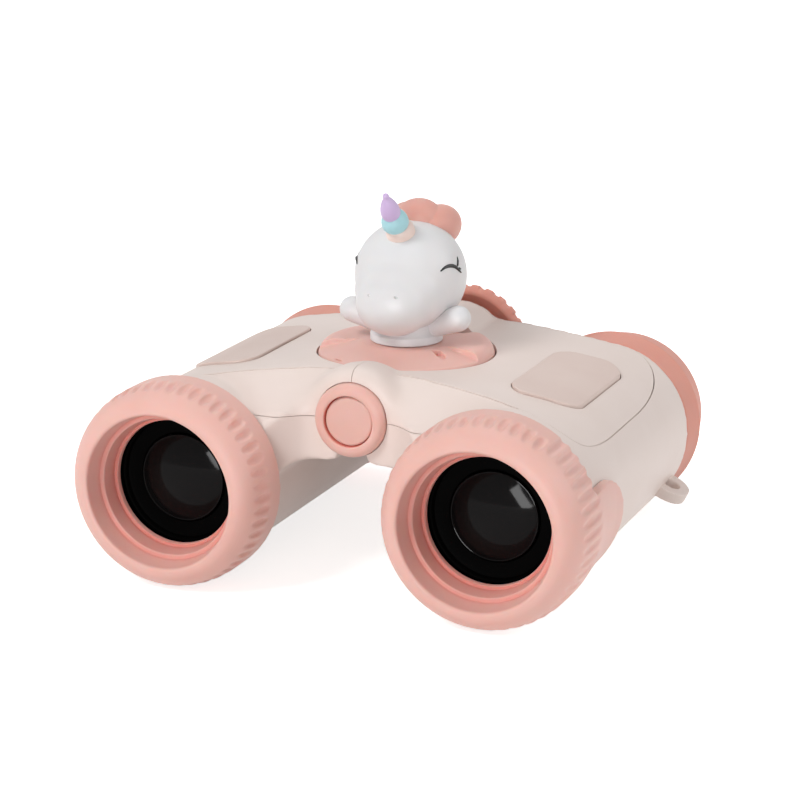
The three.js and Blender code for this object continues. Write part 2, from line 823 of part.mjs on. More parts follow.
// Fixed centre of the hinge: rod, bridge round the focus nut, rear tube and the dial post.
function spine() {
  const rodFront = rod(spineRadius, spineFront, bridgeFront, 0, hingeHeight, coarse);
  const screwHole = rod(hingeScrewShank + gap, 0, spineFront + hingeScrewLength, 0, hingeHeight, tiny);
  const journal = rod(focusScrewRadius + gap, bridgeFront - 2 * bridgeWall, far, 0, hingeHeight, coarse);
  const underDial = block([-far, -far, -far], [far, far, pocketFloor]);
  const wall = (from, to) => rod(railOuter, from, to, 0, hingeHeight, coarse).intersect(underDial);
  const rearTube = rod(spineRadius, bridgeRear, spineRear, 0, hingeHeight, coarse);
  const rail = tube(railOuter, railInner, bridgeFront, bridgeRear, 0, hingeHeight, coarse);
  const wedge = outline([
    [0, hingeHeight],
    [-far * Math.tan(railHalfAngle), hingeHeight - far],
    [far * Math.tan(railHalfAngle), hingeHeight - far],
  ]);
  const keyway = block(
    [-nutKeyWidth / 2 - gap, bridgeFront, -far],
    [nutKeyWidth / 2 + gap, bridgeRear, hingeHeight],
  );
  const post = rodUp(postRadius, hingeHeight, dialCrown - gap, 0, dialCentre, coarse);
  return cut(
    join(
      rodFront,
      wall(bridgeFront - bridgeWall, bridgeFront),
      wall(bridgeRear, bridgeRear + bridgeWall / 2),
      cut(rail.intersect(alongY(wedge, bridgeFront, bridgeRear)), keyway),
      rearTube,
      post,
    ),
    screwHole,
    journal,
  );
}

function hingeCap() {
  const floor = capFront + capDiscSetback + capDiscThickness + gap;
  const headFloor = floor + hingeScrewHeadHeight + gap;
  return turned(
    [
      [hingeScrewShank + gap, capRear],
      [capRadius, capRear],
      [capRadius, capFront + capEdge],
      [capRadius - 0.3 * capEdge, capFront + 0.3 * capEdge],
      [capRadius - capEdge, capFront],
      [capDiscRadius + gap, capFront],
      [capDiscRadius + gap, floor],
      [hingeScrewHead + gap, floor],
      [hingeScrewHead + gap, headFloor],
      [hingeScrewShank + gap, headFloor],
    ],
    0,
    hingeHeight,
    coarse,
  );
}

function hingeCapDisc() {
  const front = capFront + capDiscSetback;
  const edge = capDiscThickness / 3;
  return turned(
    [
      [0, front],
      [capDiscRadius - edge, front],
      [capDiscRadius, front + edge],
      [capDiscRadius, front + capDiscThickness],
      [0, front + capDiscThickness],
    ],
    0,
    hingeHeight,
    coarse,
  );
}

function hingeScrew() {
  const front = capFront + capDiscSetback + capDiscThickness + gap;
  const headRear = front + hingeScrewHeadHeight;
  const end = spineFront + hingeScrewLength - gap;
  return turned(
    [
      [0, front],
      [hingeScrewHead, front],
      [hingeScrewHead, headRear],
      [hingeScrewShank, headRear],
      [hingeScrewShank, end],
      [0, end],
    ],
    0,
    hingeHeight,
    tiny,
  );
}

// Ribbed focus wheel: rim, web and hub in one piece.
function focusWheel() {
  const pitch = (2 * Math.PI) / wheelRibs;
  const ribbed = [];
  for (let i = 0; i < wheelRibs; i++) {
    for (const [turn, drop] of [[0, wheelRibHeight], [0.25, 0], [0.7, 0]]) {
      const a = (i + turn) * pitch;
      const r = wheelRadius - drop;
      ribbed.push([r * Math.cos(a), hingeHeight + r * Math.sin(a)]);
    }
  }
  const rear = wheelFront + wheelWidth;
  const dish = wheelRadius - wheelRim;
  const webFrontFace = wheelFront + (wheelWidth - wheelWeb) / 2;
  const crown = wheelFront + 1.5 * wheelChamfer;
  const rim = turned(
    [
      [0, wheelFront],
      [wheelRadius - wheelChamfer, wheelFront],
      [wheelRadius, crown],
      [wheelRadius, crown + wheelCrownWidth],
      [wheelRadius - wheelTaper, rear],
      [0, rear],
    ],
    0,
    hingeHeight,
    wheelRibs,
  );
  return cut(
    alongY(outline(ribbed), wheelFront, rear).intersect(rim),
    tube(dish, wheelHub, wheelFront - gap, webFrontFace, 0, hingeHeight, wheelRibs),
    tube(dish, wheelHub, webFrontFace + wheelWeb, rear + gap, 0, hingeHeight, wheelRibs),
    rod(focusScrewRadius + gap, 0, rear + gap, 0, hingeHeight, coarse),
  );
}

function focusNut() {
  const from = nutCentre - nutLength / 2;
  const to = nutCentre + nutLength / 2;
  const spool = turned(
    [
      [focusScrewRadius + gap, from],
      [nutRadius, from],
      [nutRadius, from + nutFlange],
      [nutGrooveRadius, from + nutFlange],
      [nutGrooveRadius, to - nutFlange],
      [nutRadius, to - nutFlange],
      [nutRadius, to],
      [focusScrewRadius + gap, to],
    ],
    0,
    hingeHeight,
    coarse,
  );
  const keyTop = hingeHeight - nutGrooveRadius;
  const key = block(
    [-nutKeyWidth / 2, from, hingeHeight - railOuter],
    [nutKeyWidth / 2, to, keyTop],
  );
  return join(spool, key);
}

// Cap over the end of the focus screw, in the rear of the wheel.
function wheelCap() {
  const front = wheelFront + wheelWidth + gap;
  const rear = front + wheelCapThickness;
  const edge = wheelCapThickness / 2;
  return turned(
    [
      [0, front],
      [wheelCapRadius, front],
      [wheelCapRadius, rear - edge],
      [wheelCapRadius - edge, rear],
      [0, rear],
    ],
    0,
    hingeHeight,
    coarse,
  );
}

// Twist dial: low edge, raised band, two finger scoops and an index notch.
function dialBase() {
  const foot = gap - dialDepth;
  const disc = turnedUp(
    [
      [postRadius + gap, foot],
      [dialRadius, foot],
      [dialRadius, -dialRimDrop - gap],
      [dialRadius - gap, -dialRimDrop],
      [dialRadius - dialBandInset, 0],
      [postRadius + gap, 0],
    ],
    0,
    0,
  );
  const scoopX = dialRadius - scoopInset;
  const scoops = [-scoopX, scoopX].map((x) => ball(new THREE.Vector3(x, 0, scoopLift), scoopSize));
  const mark = new THREE.BoxGeometry(indexLength, indexWidth, 2 * indexDepth);
  mark.translate(indexReach, 0, 0).rotateZ(indexAngle);
  return cut(disc, ...scoops, toSolid(mark));
}

const headForm = (grow) => {
  const size = headRadius + grow;
  return join(
    ball(headCentre, new THREE.Vector3(size, size, size)),
    ball(muzzleCentre, muzzleSize.clone().addScalar(grow)),
    ball(snoutCentre, snoutSize.clone().addScalar(grow)),
  );
};

function figureBody() {
  const skirt = gap + bodySkirt;
  const top = gap + bodyHeight;
  const body = turnedUp(
    [
      [0, gap],
      [bodyFoot, gap],
      [bodyFoot, skirt],
      [bodyWaist, skirt + bodySkirtSlope],
      [bodyWaist - bodyTaper, top],
      [0, top],
    ],
    0,
    0,
    coarse,
  );
  return cut(body, headForm(gap));
}

// A foreleg: a round-ended rod from the body to the hoof.
function foreleg(side) {
  const axis = legTip.clone().sub(legRoot);
  const leg = new THREE.CapsuleGeometry(legRadius, axis.length(), 4, tiny);
  leg.translate(0, axis.length() / 2, 0);
  const turn = new THREE.Quaternion().setFromUnitVectors(new THREE.Vector3(0, 1, 0), axis.normalize());
  leg.applyQuaternion(turn).translate(legRoot.x, legRoot.y, legRoot.z);
  const room = rodUp(bodyFoot + gap, 0, far, 0, 0, coarse);
  const right = cut(toSolid(leg), headForm(gap), room);
  return side === "right" ? right : right.mirror([1, 0, 0]);
}

// The horn's three tiers stack along its leaning axis.
function hornTiers() {
  const lean = (geometry) =>
    toSolid(
      geometry
        .rotateX(Math.PI / 2)
        .rotateX(hornLean)
        .translate(hornRoot.x, hornRoot.y, hornRoot.z),
    );
  const middleFoot = hornBaseHeight + gap;
  const tipFoot = middleFoot + hornMiddleHeight + gap;
  const base = lathe(
    [
      [0, -hornBaseRadius],
      [hornBaseRadius, -hornBaseRadius],
      [hornBaseRadius, hornBaseHeight / 2],
      [hornMiddleRadius, hornBaseHeight],
      [0, hornBaseHeight],
    ],
    coarse,
  );
  const middle = lathe(
    [
      [0, middleFoot],
      [0.9 * hornMiddleRadius, middleFoot],
      [hornMiddleRadius, middleFoot + 0.4 * hornMiddleHeight],
      [0.8 * hornTipRadius, tipFoot - gap],
      [0, tipFoot - gap],
    ],
    coarse,
  );
  const tip = lathe(
    [
      [0, tipFoot],
      [0.8 * hornTipRadius, tipFoot],
      [hornTipRadius, tipFoot + 0.3 * hornTipHeight],
      [0.6 * hornTipRadius, tipFoot + 0.75 * hornTipHeight],
      [0, tipFoot + hornTipHeight],
    ],
    coarse,
  );
  return { base: cut(lean(base), headForm(gap)), middle: lean(middle), tip: lean(tip) };
}

function mane(hornBase) {
  const lobes = [
    ball(crestCentre, crestSize),
    ball(napeCentre, napeSize),
    ball(tailCentre, tailSize),
  ];
  const hornRoom = ball(hornRoot, new THREE.Vector3(1, 1, 1).multiplyScalar(hornBaseRadius + 2 * gap));
  return cut(join(...lobes), headForm(gap), hornRoom, hornBase);
}

// Pieces on the centre line.
function buildCentre() {
  const group = new THREE.Group();
  const add = (name, solid, material) => addPiece(group, name, solid, material);
  add("spine", spine(), nylon());
  add("hinge_cap", hingeCap(), coral());
  add("hinge_cap_disc", hingeCapDisc(), coral());
  add("hinge_screw", hingeScrew(), steel());
  const bushing = [knuckleRadius, spineRadius + gap, bushingFront, bushingFront + bushingLength];
  add("rear_bushing", tube(...bushing, 0, hingeHeight, coarse), nylon());
  add("focus_wheel", focusWheel(), coral());
  const screwFront = bridgeFront - 2 * bridgeWall + gap;
  const screwRear = wheelFront + wheelWidth;
  add("focus_screw", rod(focusScrewRadius, screwFront, screwRear, 0, hingeHeight, coarse), steel());
  add("focus_nut", focusNut(), nylon());
  add("wheel_cap", wheelCap(), coral());
  return group;
}

// Dial and figure, built round the middle of the dial's crown.
function buildFigure() {
  const group = new THREE.Group();
  group.position.set(0, dialCentre, dialCrown);
  const add = (name, solid, material) => addPiece(group, name, solid, material);
  const horn = hornTiers();
  add("dial_base", dialBase(), coral());
  add("figure_body", figureBody(), white());
  add("figure_head", headForm(0), white());
  add("left_foreleg", foreleg("left"), white());
  add("right_foreleg", foreleg("right"), white());
  add("horn_base", horn.base, hornCream());
  add("horn_middle", horn.middle, hornCyan());
  add("horn_tip", horn.tip, hornLilac());
  add("mane", mane(horn.base), coral());
  return group;
}

const assembly = new THREE.Group();
assembly.position.set(0, -eyecupRear / 2, ringRadius);
assembly.add(buildHalf("left"), buildHalf("right"), buildCentre(), buildFigure());

const binoculars = new THREE.Group();
binoculars.name = "toy_binoculars";
binoculars.add(assembly);

export default binoculars;
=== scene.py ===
# %% [markdown]
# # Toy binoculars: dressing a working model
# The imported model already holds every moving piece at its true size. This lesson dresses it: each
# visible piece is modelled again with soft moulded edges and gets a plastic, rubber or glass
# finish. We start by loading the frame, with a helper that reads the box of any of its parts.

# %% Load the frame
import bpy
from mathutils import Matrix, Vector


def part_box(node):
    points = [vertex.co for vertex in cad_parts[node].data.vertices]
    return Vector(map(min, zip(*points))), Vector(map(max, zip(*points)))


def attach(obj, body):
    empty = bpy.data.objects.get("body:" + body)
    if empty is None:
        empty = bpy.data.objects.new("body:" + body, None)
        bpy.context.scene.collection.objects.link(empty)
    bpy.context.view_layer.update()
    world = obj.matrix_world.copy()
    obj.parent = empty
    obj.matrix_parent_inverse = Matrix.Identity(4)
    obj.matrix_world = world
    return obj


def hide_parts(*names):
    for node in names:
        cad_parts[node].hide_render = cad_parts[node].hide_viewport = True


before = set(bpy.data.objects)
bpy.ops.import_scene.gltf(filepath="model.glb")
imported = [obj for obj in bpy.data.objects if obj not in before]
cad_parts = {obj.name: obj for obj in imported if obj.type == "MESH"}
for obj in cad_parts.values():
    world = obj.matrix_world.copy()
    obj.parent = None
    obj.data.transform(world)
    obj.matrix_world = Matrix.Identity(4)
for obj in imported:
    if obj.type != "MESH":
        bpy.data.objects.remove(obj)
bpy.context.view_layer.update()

from math import asin, cos, pi, radians, sin, tan
import bpy
from mathutils import Quaternion, Vector

# %% [markdown]
# ## One ruler for everything
# All sizes below are in millimetres, and `place` turns them into the frame's metres. X is counted
# from the hinge, Y from the front of the objective rings and Z from the barrel axes, so that a
# number measured on the object can be written down as it is.

# %% Ruler
mm = 0.001


def middle(node):
    low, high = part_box(node)
    return (Vector(low) + Vector(high)) / 2


ring_low, ring_high = (Vector(corner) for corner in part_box("right_objective_ring"))
barrel_z = (ring_low.z + ring_high.z) / 2
front_y = ring_low.y
barrel_x = (ring_low.x + ring_high.x) / 2 / mm
hinge_z = (middle("hinge_cap").z - barrel_z) / mm
dial_y = (middle("dial_base").y - front_y) / mm
body_rear = (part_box("right_lower_shell")[1][1] - front_y) / mm


def place(x, y, z):
    return Vector((x * mm, front_y + y * mm, barrel_z + z * mm))


print(f"barrels at {barrel_x:.1f} mm, hinge {hinge_z:.1f} mm above them, dial at {dial_y:.1f} mm")

# %% [markdown]
# ## Tools of the bench
# Operators act on whatever is selected, so every step first clears the selection. A round piece
# is drawn as a chain of points, extruded one by one from a single corner, and spun about its
# axis. A prism is the same chain, filled and pushed through.

# %% Chains, turned pieces and prisms
weld = 0.001 * mm


def select(obj):
    bpy.ops.object.select_all(action="DESELECT")
    obj.select_set(True)
    bpy.context.view_layer.objects.active = obj


def settle(name):
    """Names the new object and puts its place into its mesh."""
    obj = bpy.context.object
    obj.name = name
    obj.data.name = name
    bpy.ops.object.transform_apply(location=True, rotation=True, scale=True)
    return obj


def trace(name, points):
    """A chain of edges through the points, left open for editing."""
    bpy.ops.object.select_all(action="DESELECT")
    bpy.ops.mesh.primitive_plane_add(size=mm, location=points[0])
    obj = settle(name)
    bpy.ops.object.mode_set(mode="EDIT")
    bpy.ops.mesh.merge(type="CENTER")
    for here, there in zip(points, points[1:]):
        bpy.ops.mesh.extrude_vertices_move(TRANSFORM_OT_translate={"value": there - here})
    bpy.ops.mesh.select_all(action="SELECT")
    return obj


def close_edit():
    """Welds doubled points, turns the normals outwards and leaves edit mode."""
    bpy.ops.mesh.select_all(action="SELECT")
    bpy.ops.mesh.remove_doubles(threshold=weld)
    bpy.ops.mesh.normals_make_consistent(inside=False)
    bpy.ops.object.mode_set(mode="OBJECT")


def spun(name, profile, foot, axis, steps):
    """Spins [radius, height] points about an axis through a foot point, given in millimetres."""
    side = axis.orthogonal().normalized()
    foot = Vector(foot)
    obj = trace(name, [place(*(foot + axis * h + side * r)) for r, h in profile])
    bpy.ops.mesh.spin(steps=steps, angle=2 * pi, center=place(*foot), axis=axis)
    close_edit()
    return obj


def turned(name, profile, x, z, steps=128):
    """Spins [radius, y] points about a line along Y."""
    return spun(name, profile, (x, 0, z), Vector((0, 1, 0)), steps)


def prism(name, points, push):
    """Fills the outline and pushes it through by a vector in millimetres."""
    obj = trace(name, points + points[:1])
    bpy.ops.mesh.remove_doubles(threshold=weld)
    bpy.ops.mesh.edge_face_add()
    bpy.ops.mesh.extrude_region_move(TRANSFORM_OT_translate={"value": Vector(push) * mm})
    close_edit()
    return obj


# %% [markdown]
# Two shapes are joined or cut with a boolean modifier, which is applied at once, so that the next
# step finds a plain mesh. A cut along a plane needs no second shape: bisecting the mesh is
# quicker.

# %% Joining and cutting
def apply(obj, kind, **settings):
    """Adds a modifier with these settings and applies it."""
    select(obj)
    modifier = obj.modifiers.new(kind.title(), kind)
    for key, value in settings.items():
        setattr(modifier, key, value)
    bpy.ops.object.modifier_apply(modifier=modifier.name)
    return obj


def combine(obj, *tools, how="DIFFERENCE"):
    for tool in tools:
        apply(obj, "BOOLEAN", object=tool, operation=how, solver="MANIFOLD")
        bpy.data.objects.remove(tool)
    return obj


def cut_at(obj, point, normal):
    """Cuts away what lies behind a plane and closes the cut."""
    select(obj)
    bpy.ops.object.mode_set(mode="EDIT")
    bpy.ops.mesh.select_all(action="SELECT")
    bpy.ops.mesh.bisect(plane_co=point, plane_no=normal, use_fill=True, clear_inner=True)
    bpy.ops.object.mode_set(mode="OBJECT")
    return obj


# %% [markdown]
# Outlines need curves as well as corners. An arc suits an edge that was turned or milled into the
# mould, and a cubic curve suits the free lines of a toy.

# %% Curves for outlines
def arc(cx, cy, radius, start, end, steps):
    """Points along an arc, with angles in degrees."""
    turns = [radians(start + (end - start) * i / steps) for i in range(steps + 1)]
    return [(cx + radius * cos(a), cy + radius * sin(a)) for a in turns]


def bezier(p0, p1, p2, p3, steps):
    """Points along a cubic curve with these four control points."""
    controls = (p0, p1, p2, p3)
    points = []
    for i in range(steps + 1):
        t = i / steps
        u = 1 - t
        weights = (u**3, 3 * u * u * t, 3 * u * t * t, t**3)
        points.append(tuple(sum(w * p[k] for w, p in zip(weights, controls)) for k in (0, 1)))
    return points


# %% [markdown]
# ## Finishes
# Almost everything here is injection-moulded plastic. ABS leaves the mould with a faint eroded
# grain that spreads the highlight, and its pigment is never perfectly even. Each finish therefore
# mixes two close colours with a slow noise, and a fine noise gives the grain as bump and as
# uneven roughness.

# %% Node helper and colours
def linear(hex_colour):
    channels = [int(hex_colour[i : i + 2], 16) / 255 for i in (1, 3, 5)]
    return [c / 12.92 if c <= 0.04045 else ((c + 0.055) / 1.055) ** 2.4 for c in channels] + [1]


def add(tree, kind, links=(), values=(), **settings):
    """Adds a node, sets its properties and input values, and links sources to its inputs."""
    node = tree.nodes.new(kind)
    for key, value in settings.items():
        setattr(node, key, value)
    for socket, value in dict(values).items():
        node.inputs[socket].default_value = value
    for socket, source in dict(links).items():
        tree.links.new(source, node.inputs[socket])
    return node


def moulded(name, light, dark, roughness, grain, depth, painted_shade=None, **shader_values):
    """Moulded plastic: two close pigments, and a grain of this width and depth in millimetres.

    With a shade colour given, hollows that little light reaches are painted in that colour as painted
    shade.
    """
    material = bpy.data.materials.new(name)
    material.use_nodes = True
    tree = material.node_tree
    shader = tree.nodes["Principled BSDF"]
    for socket, value in shader_values.items():
        shader.inputs[socket.replace("_", " ")].default_value = value
    where = add(tree, "ShaderNodeTexCoord").outputs["Object"]
    cloud_width = 14
    cloud = add(
        tree,
        "ShaderNodeTexNoise",
        links={"Vector": where},
        values={"Scale": 1 / (cloud_width * mm), "Detail": 3},
    )
    pigment = add(tree, "ShaderNodeValToRGB", links={"Fac": cloud.outputs["Fac"]})
    pigment.color_ramp.elements[0].position = 0.3
    pigment.color_ramp.elements[0].color = linear(dark)
    pigment.color_ramp.elements[1].position = 0.7
    pigment.color_ramp.elements[1].color = linear(light)
    tint = pigment.outputs["Color"]
    # Painted shade: where the part's own shape hides it from light, the colour goes towards the shade
    # colour.
    if painted_shade:
        reach_of_light = 30
        open_sky = add(
            tree,
            "ShaderNodeAmbientOcclusion",
            values={"Distance": reach_of_light * mm},
            samples=8,
            only_local=True,
        )
        shade = add(
            tree,
            "ShaderNodeMapRange",
            links={"Value": open_sky.outputs["AO"]},
            values={"From Min": 0.4, "From Max": 0.75, "To Min": 0.95, "To Max": 0},
        )
        mix = add(
            tree,
            "ShaderNodeMixRGB",
            links={"Fac": shade.outputs["Result"], "Color1": tint},
            values={"Color2": linear(painted_shade)},
        )
        tint = mix.outputs["Color"]
    tree.links.new(tint, shader.inputs["Base Color"])
    fine = add(
        tree,
        "ShaderNodeTexNoise",
        links={"Vector": where},
        values={"Scale": 1 / (grain * mm), "Detail": 2, "Roughness": 0.6},
    )
    gloss_spread = 0.06
    gloss = add(
        tree,
        "ShaderNodeMapRange",
        links={"Value": fine.outputs["Fac"]},
        values={"To Min": roughness - gloss_spread, "To Max": roughness + gloss_spread},
    )
    tree.links.new(gloss.outputs["Result"], shader.inputs["Roughness"])
    bump = add(
        tree,
        "ShaderNodeBump",
        links={"Height": fine.outputs["Fac"]},
        values={"Strength": 0.5, "Distance": depth * mm},
    )
    tree.links.new(bump.outputs["Normal"], shader.inputs["Normal"])
    return material


# %% [markdown]
# The pale case and the coral trim are ABS with a satin mould grain. The eyecups are a softer
# rubber with a coarser, duller grain. The figure is a smooth vinyl. The coral pigment lets light
# in, red furthest. The finishes of the rings, the hinge cap and the mane also paint a deep red
# shade into their hollows, where little light reaches: this is painted shade. The grain of real
# parts is about 0.05 mm, too fine to show here, so it is drawn a few times coarser.

# %% Plastic and rubber
coral = {
    "Specular_IOR_Level": 0.3,
    "Subsurface_Weight": 0.3,
    "Subsurface_Scale": 3 * mm,
    "Subsurface_Radius": (1, 0.25, 0.15),
}
# Satin ABS gives a broad soft highlight and no mirror image.
satin = {"roughness": 0.46, "grain": 0.35, "depth": 0.012}
cream_abs = moulded("cream_abs", "#eadbd4", "#e6d6ce", **satin)
pad_abs = moulded("pad_abs", "#dfcbc2", "#dbc5bc", roughness=0.5, grain=0.3, depth=0.014)
coral_abs = moulded("coral_abs", "#ebbeb4", "#e7b6ab", **satin, **coral)
# The rings and the hinge cap get painted red shade in their hollows.
coral_painted_shade_abs = moulded("coral_abs_with_painted_shade", "#ebbeb4", "#e7b6ab", painted_shade="#d8432c", **satin, **coral)
# Rubber is duller, and its grain is coarse enough to see.
rubber = {"roughness": 0.58, "grain": 0.45, "depth": 0.02}
coral_rubber = moulded("matt_coral_rubber", "#e2a091", "#dd9888", **rubber, **coral)
# Vinyl is smoother than ABS, so its highlight is a little tighter.
vinyl = {"grain": 0.5, "depth": 0.006}
# The mane gets painted red shade in the creases between its tufts.
coral_vinyl = moulded(
    "soft_coral_vinyl", "#e6aea2", "#e0a598", roughness=0.44, painted_shade="#c9523d", **vinyl, **coral
)
white_vinyl = moulded(
    "soft_white_vinyl", "#e4e3e4", "#e1dfe0", roughness=0.42, Subsurface_Weight=0.05, **vinyl
)
horn_blush = moulded("horn_blush_vinyl", "#f3dcd2", "#efd5ca", roughness=0.4, **vinyl)
horn_cyan = moulded("horn_cyan_vinyl", "#acdbe3", "#a2d3dc", roughness=0.38, **vinyl)
horn_lilac = moulded("horn_lilac_vinyl", "#d2b9e2", "#cab0dc", roughness=0.38, **vinyl)
# Inside the tubes the black is dull and swallows stray light, as in real optics.
dull = {"roughness": 0.6, "grain": 0.3, "depth": 0.01, "Specular_IOR_Level": 0.02}
black_abs = moulded("dull_black_abs", "#020202", "#010101", **dull)
# Paint lies on the vinyl as a smooth film with a small highlight.
lash_paint = moulded("black_lash_paint", "#0d0c0d", "#090809", roughness=0.35, grain=0.4, depth=0.004)
# Nylon without pigment is a milky off-white.
natural_nylon = moulded("natural_nylon", "#dcd8d0", "#d3cec5", roughness=0.45, grain=0.4, depth=0.008)
print("main finishes:", cream_abs.name, coral_abs.name, coral_rubber.name, white_vinyl.name)

# %% [markdown]
# The objective lenses are coated glass. The coating takes away most of the reflection, and behind
# the glass there is only the black tube, so a lens looks dark with one clean highlight on top.
# Screws are zinc-plated steel, with a fine grain on their heads.

# %% Glass and steel
coated = {"roughness": 0.08, "grain": 9, "depth": 0.0005, "Specular_IOR_Level": 0.07}
lens_glass = moulded("coated_lens_glass", "#111010", "#0f0e0f", **coated)
zinc = {"roughness": 0.3, "grain": 0.25, "depth": 0.004, "Metallic": 1.0}
zinc_steel = moulded("zinc_plated_steel", "#c4c7cb", "#b4b8bd", **zinc)
print(len(bpy.data.materials), "materials")

# %% [markdown]
# ## Handing over
# A finished piece is hung on the moving body it rides on and gets its finish, and the imported
# nodes that it stands for are hidden. Most pieces come in pairs that are mirror images. So only the
# right one is modelled, and a mirrored copy goes to the other half.

# %% Handing a piece to its body
def copy_of(obj, name):
    select(obj)
    bpy.ops.object.duplicate(linked=False)
    twin = bpy.context.object
    twin.name = name
    twin.data.name = name
    return twin


def mirrored(obj, name):
    twin = copy_of(obj, name)
    bpy.ops.transform.resize(value=(-1, 1, 1), center_override=(0, 0, 0))
    bpy.ops.object.transform_apply(location=True, rotation=True, scale=True)
    bpy.ops.object.mode_set(mode="EDIT")
    close_edit()
    return twin


def hand_over(obj, body, nodes, material, sharp=40):
    """Gives the finished piece its material and its body, and hides the imported nodes it stands for.
    """
    select(obj)
    bpy.ops.object.shade_smooth_by_angle(angle=radians(sharp))
    obj.data.materials.clear()
    obj.data.materials.append(material)
    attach(obj, body)
    if nodes:
        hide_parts(*nodes)
    print(f"{obj.name}: {len(obj.data.polygons)} faces on {body}")


def both_sides(obj, name, material, sharp=40):
    """Hands over the right piece and its mirror image."""
    twin = mirrored(obj, f"left_{name}_look")
    for side, piece in (("right", obj), ("left", twin)):
        hand_over(piece, f"{side}_half", [f"{side}_{name}"], material, sharp)


# %% [markdown]
# ## The case
# Each half is a barrel, a web that carries it and half of the boss over the hinge. On the real
# part these flow into each other with soft fillets. Bevelling such joints edge by edge is slow,
# so the blanks are joined, rebuilt from half-millimetre cells and smoothed. The form runs past
# the middle on purpose and is cut at the seam afterwards, so that the seam stays crisp.

# %% Barrel
barrel_radius = 18.3
barrel_front = 9.2
barrel = [(0, barrel_front), (barrel_radius, barrel_front)]
barrel += [(barrel_radius, body_rear), (0, body_rear)]
case = turned("right_case", barrel, barrel_x, 0, steps=192)
print("barrel blank:", len(case.data.polygons), "faces")

# %% [markdown]
# The web is one section, drawn from the front and pushed to the rear. Its front is hollowed in
# plan and sloped in side view, and both are plain cuts with a prism.

# %% Web
web_top = 21.2
web_bottom = 5.2
web_start = 13.3
past_middle = -4
flank = barrel_x - barrel_radius
knee = flank - 5
section = [(past_middle, web_bottom)]
section += bezier((knee, 4.1), (knee + 3, 3.7), (flank - 0.2, 2.6), (flank + 0.9, -1.1), 8)
section += [(barrel_x, 0)]
section += bezier((barrel_x + 2.8, 18.05), (27.8, 19.3), (18, 20.9), (8.4, web_top), 16)
section += [(past_middle, web_top)]
web_points = [place(x, web_start, z) for x, z in section]
web = prism("web", web_points, (0, body_rear - web_start, 0))
print("web blank:", len(web.data.polygons), "faces")

# %% Front of the web
web_front = 19.7
slope_foot = 15.5
slope_head = 27
reach = 120
plan = [(past_middle - 1, -reach), (past_middle - 1, web_front)]
plan += bezier((6.8, web_front), (9.8, web_front), (12.6, 17.4), (15.4, 14), 8)
plan += [(16, web_start - 0.5), (16, -reach)]
hollow = prism("front_hollow", [place(x, y, -reach) for x, y in plan], (0, 0, 2 * reach))
rise = web_top - hinge_z
run = slope_head - slope_foot
slope = [(slope_foot - 2 * run, hinge_z - 2 * rise), (slope_foot + 3 * run, hinge_z + 3 * rise)]
slope += [(slope_foot - 2 * run, hinge_z + 3 * rise)]
wedge = prism("front_slope", [place(-reach, y, z) for y, z in slope], (2 * reach, 0, 0))
combine(web, hollow, wedge)
print("web after the cuts:", len(web.data.polygons), "faces")

# %% [markdown]
# The boss is the round hood over the hinge. It is turned, cut flat below and joined to the web.

# %% Boss
boss_radius = 10.5
boss_corner = 2
boss_front = 19.6
boss_shoulder = 25
boss_rim_radius = 9.5
boss_rear_radius = 11.3
boss_floor = 8
pocket_radius = 18.5
pocket_front = dial_y - pocket_radius
boss_profile = [(0, boss_front), (boss_radius - boss_corner, boss_front)]
boss_profile += arc(boss_radius - boss_corner, boss_front + boss_corner, boss_corner, -90, 0, 6)
boss_profile += [(boss_radius, boss_shoulder), (boss_rim_radius, pocket_front)]
boss_profile += [(boss_rim_radius, dial_y), (boss_rear_radius, dial_y + pocket_radius)]
boss_profile += [(boss_rear_radius, body_rear), (0, body_rear)]
boss = turned("boss", boss_profile, 0, hinge_z, steps=96)
cut_at(boss, place(0, 0, boss_floor), (0, 0, 1))
cut_at(boss, place(past_middle, 0, 0), (1, 0, 0))
combine(case, web, boss, how="UNION")
print("case blank:", len(case.data.polygons), "faces")

# %% [markdown]
# A wedge below the hinge gives the halves room to fold. It is cut before the smoothing, because
# its edges are soft on the real part.

# %% Fold wedge and smoothing
def soften(obj, voxel, rounds):
    """Rebuilds the surface from small cells and smooths it, which rounds edges as a mould does."""
    apply(obj, "REMESH", mode="VOXEL", voxel_size=voxel * mm)
    apply(obj, "SMOOTH", factor=0.5, iterations=rounds)
    return obj


fold_wedge = radians(22)
outside = -20
wedge_points = [(0, hinge_z), (-reach, hinge_z), (-reach, -reach)]
wedge_points += [(reach * tan(fold_wedge), hinge_z - reach)]
room = prism("fold_room", [place(x, outside, z) for x, z in wedge_points], (0, 2 * reach, 0))
combine(case, room)
soften(case, voxel=0.45, rounds=12)
print("case after smoothing:", len(case.data.polygons), "faces")

# %% [markdown]
# Where the boss grows out of the front slope the fillet is much wider than elsewhere, so the
# points in a box round that patch are smoothed again on their own.

# %% Fillet of the boss
shoulder_low, shoulder_high = place(-20, 16.8, 14), place(16, 26.5, 30)
shoulder_rounds = 140


def on_shoulder(point):
    return all(low < c < high for low, c, high in zip(shoulder_low, point, shoulder_high))


inside = [vertex.index for vertex in case.data.vertices if on_shoulder(vertex.co)]
shoulder_group = case.vertex_groups.new(name="boss_shoulder")
shoulder_group.add(inside, 1, "REPLACE")
apply(case, "SMOOTH", factor=0.5, iterations=shoulder_rounds, vertex_group=shoulder_group.name)
case.vertex_groups.clear()
print(len(inside), "points smoothed again")

# %% [markdown]
# ## Finger pads
# A finger pad is a slightly raised plate with a thin gap round it. Its crown has to follow the
# case, so the case itself is the template: a copy of its skin, pushed out along the normals, cuts
# the top of a rounded prism, and a copy pushed in cuts the bottom. The same two tools cut the
# recess.

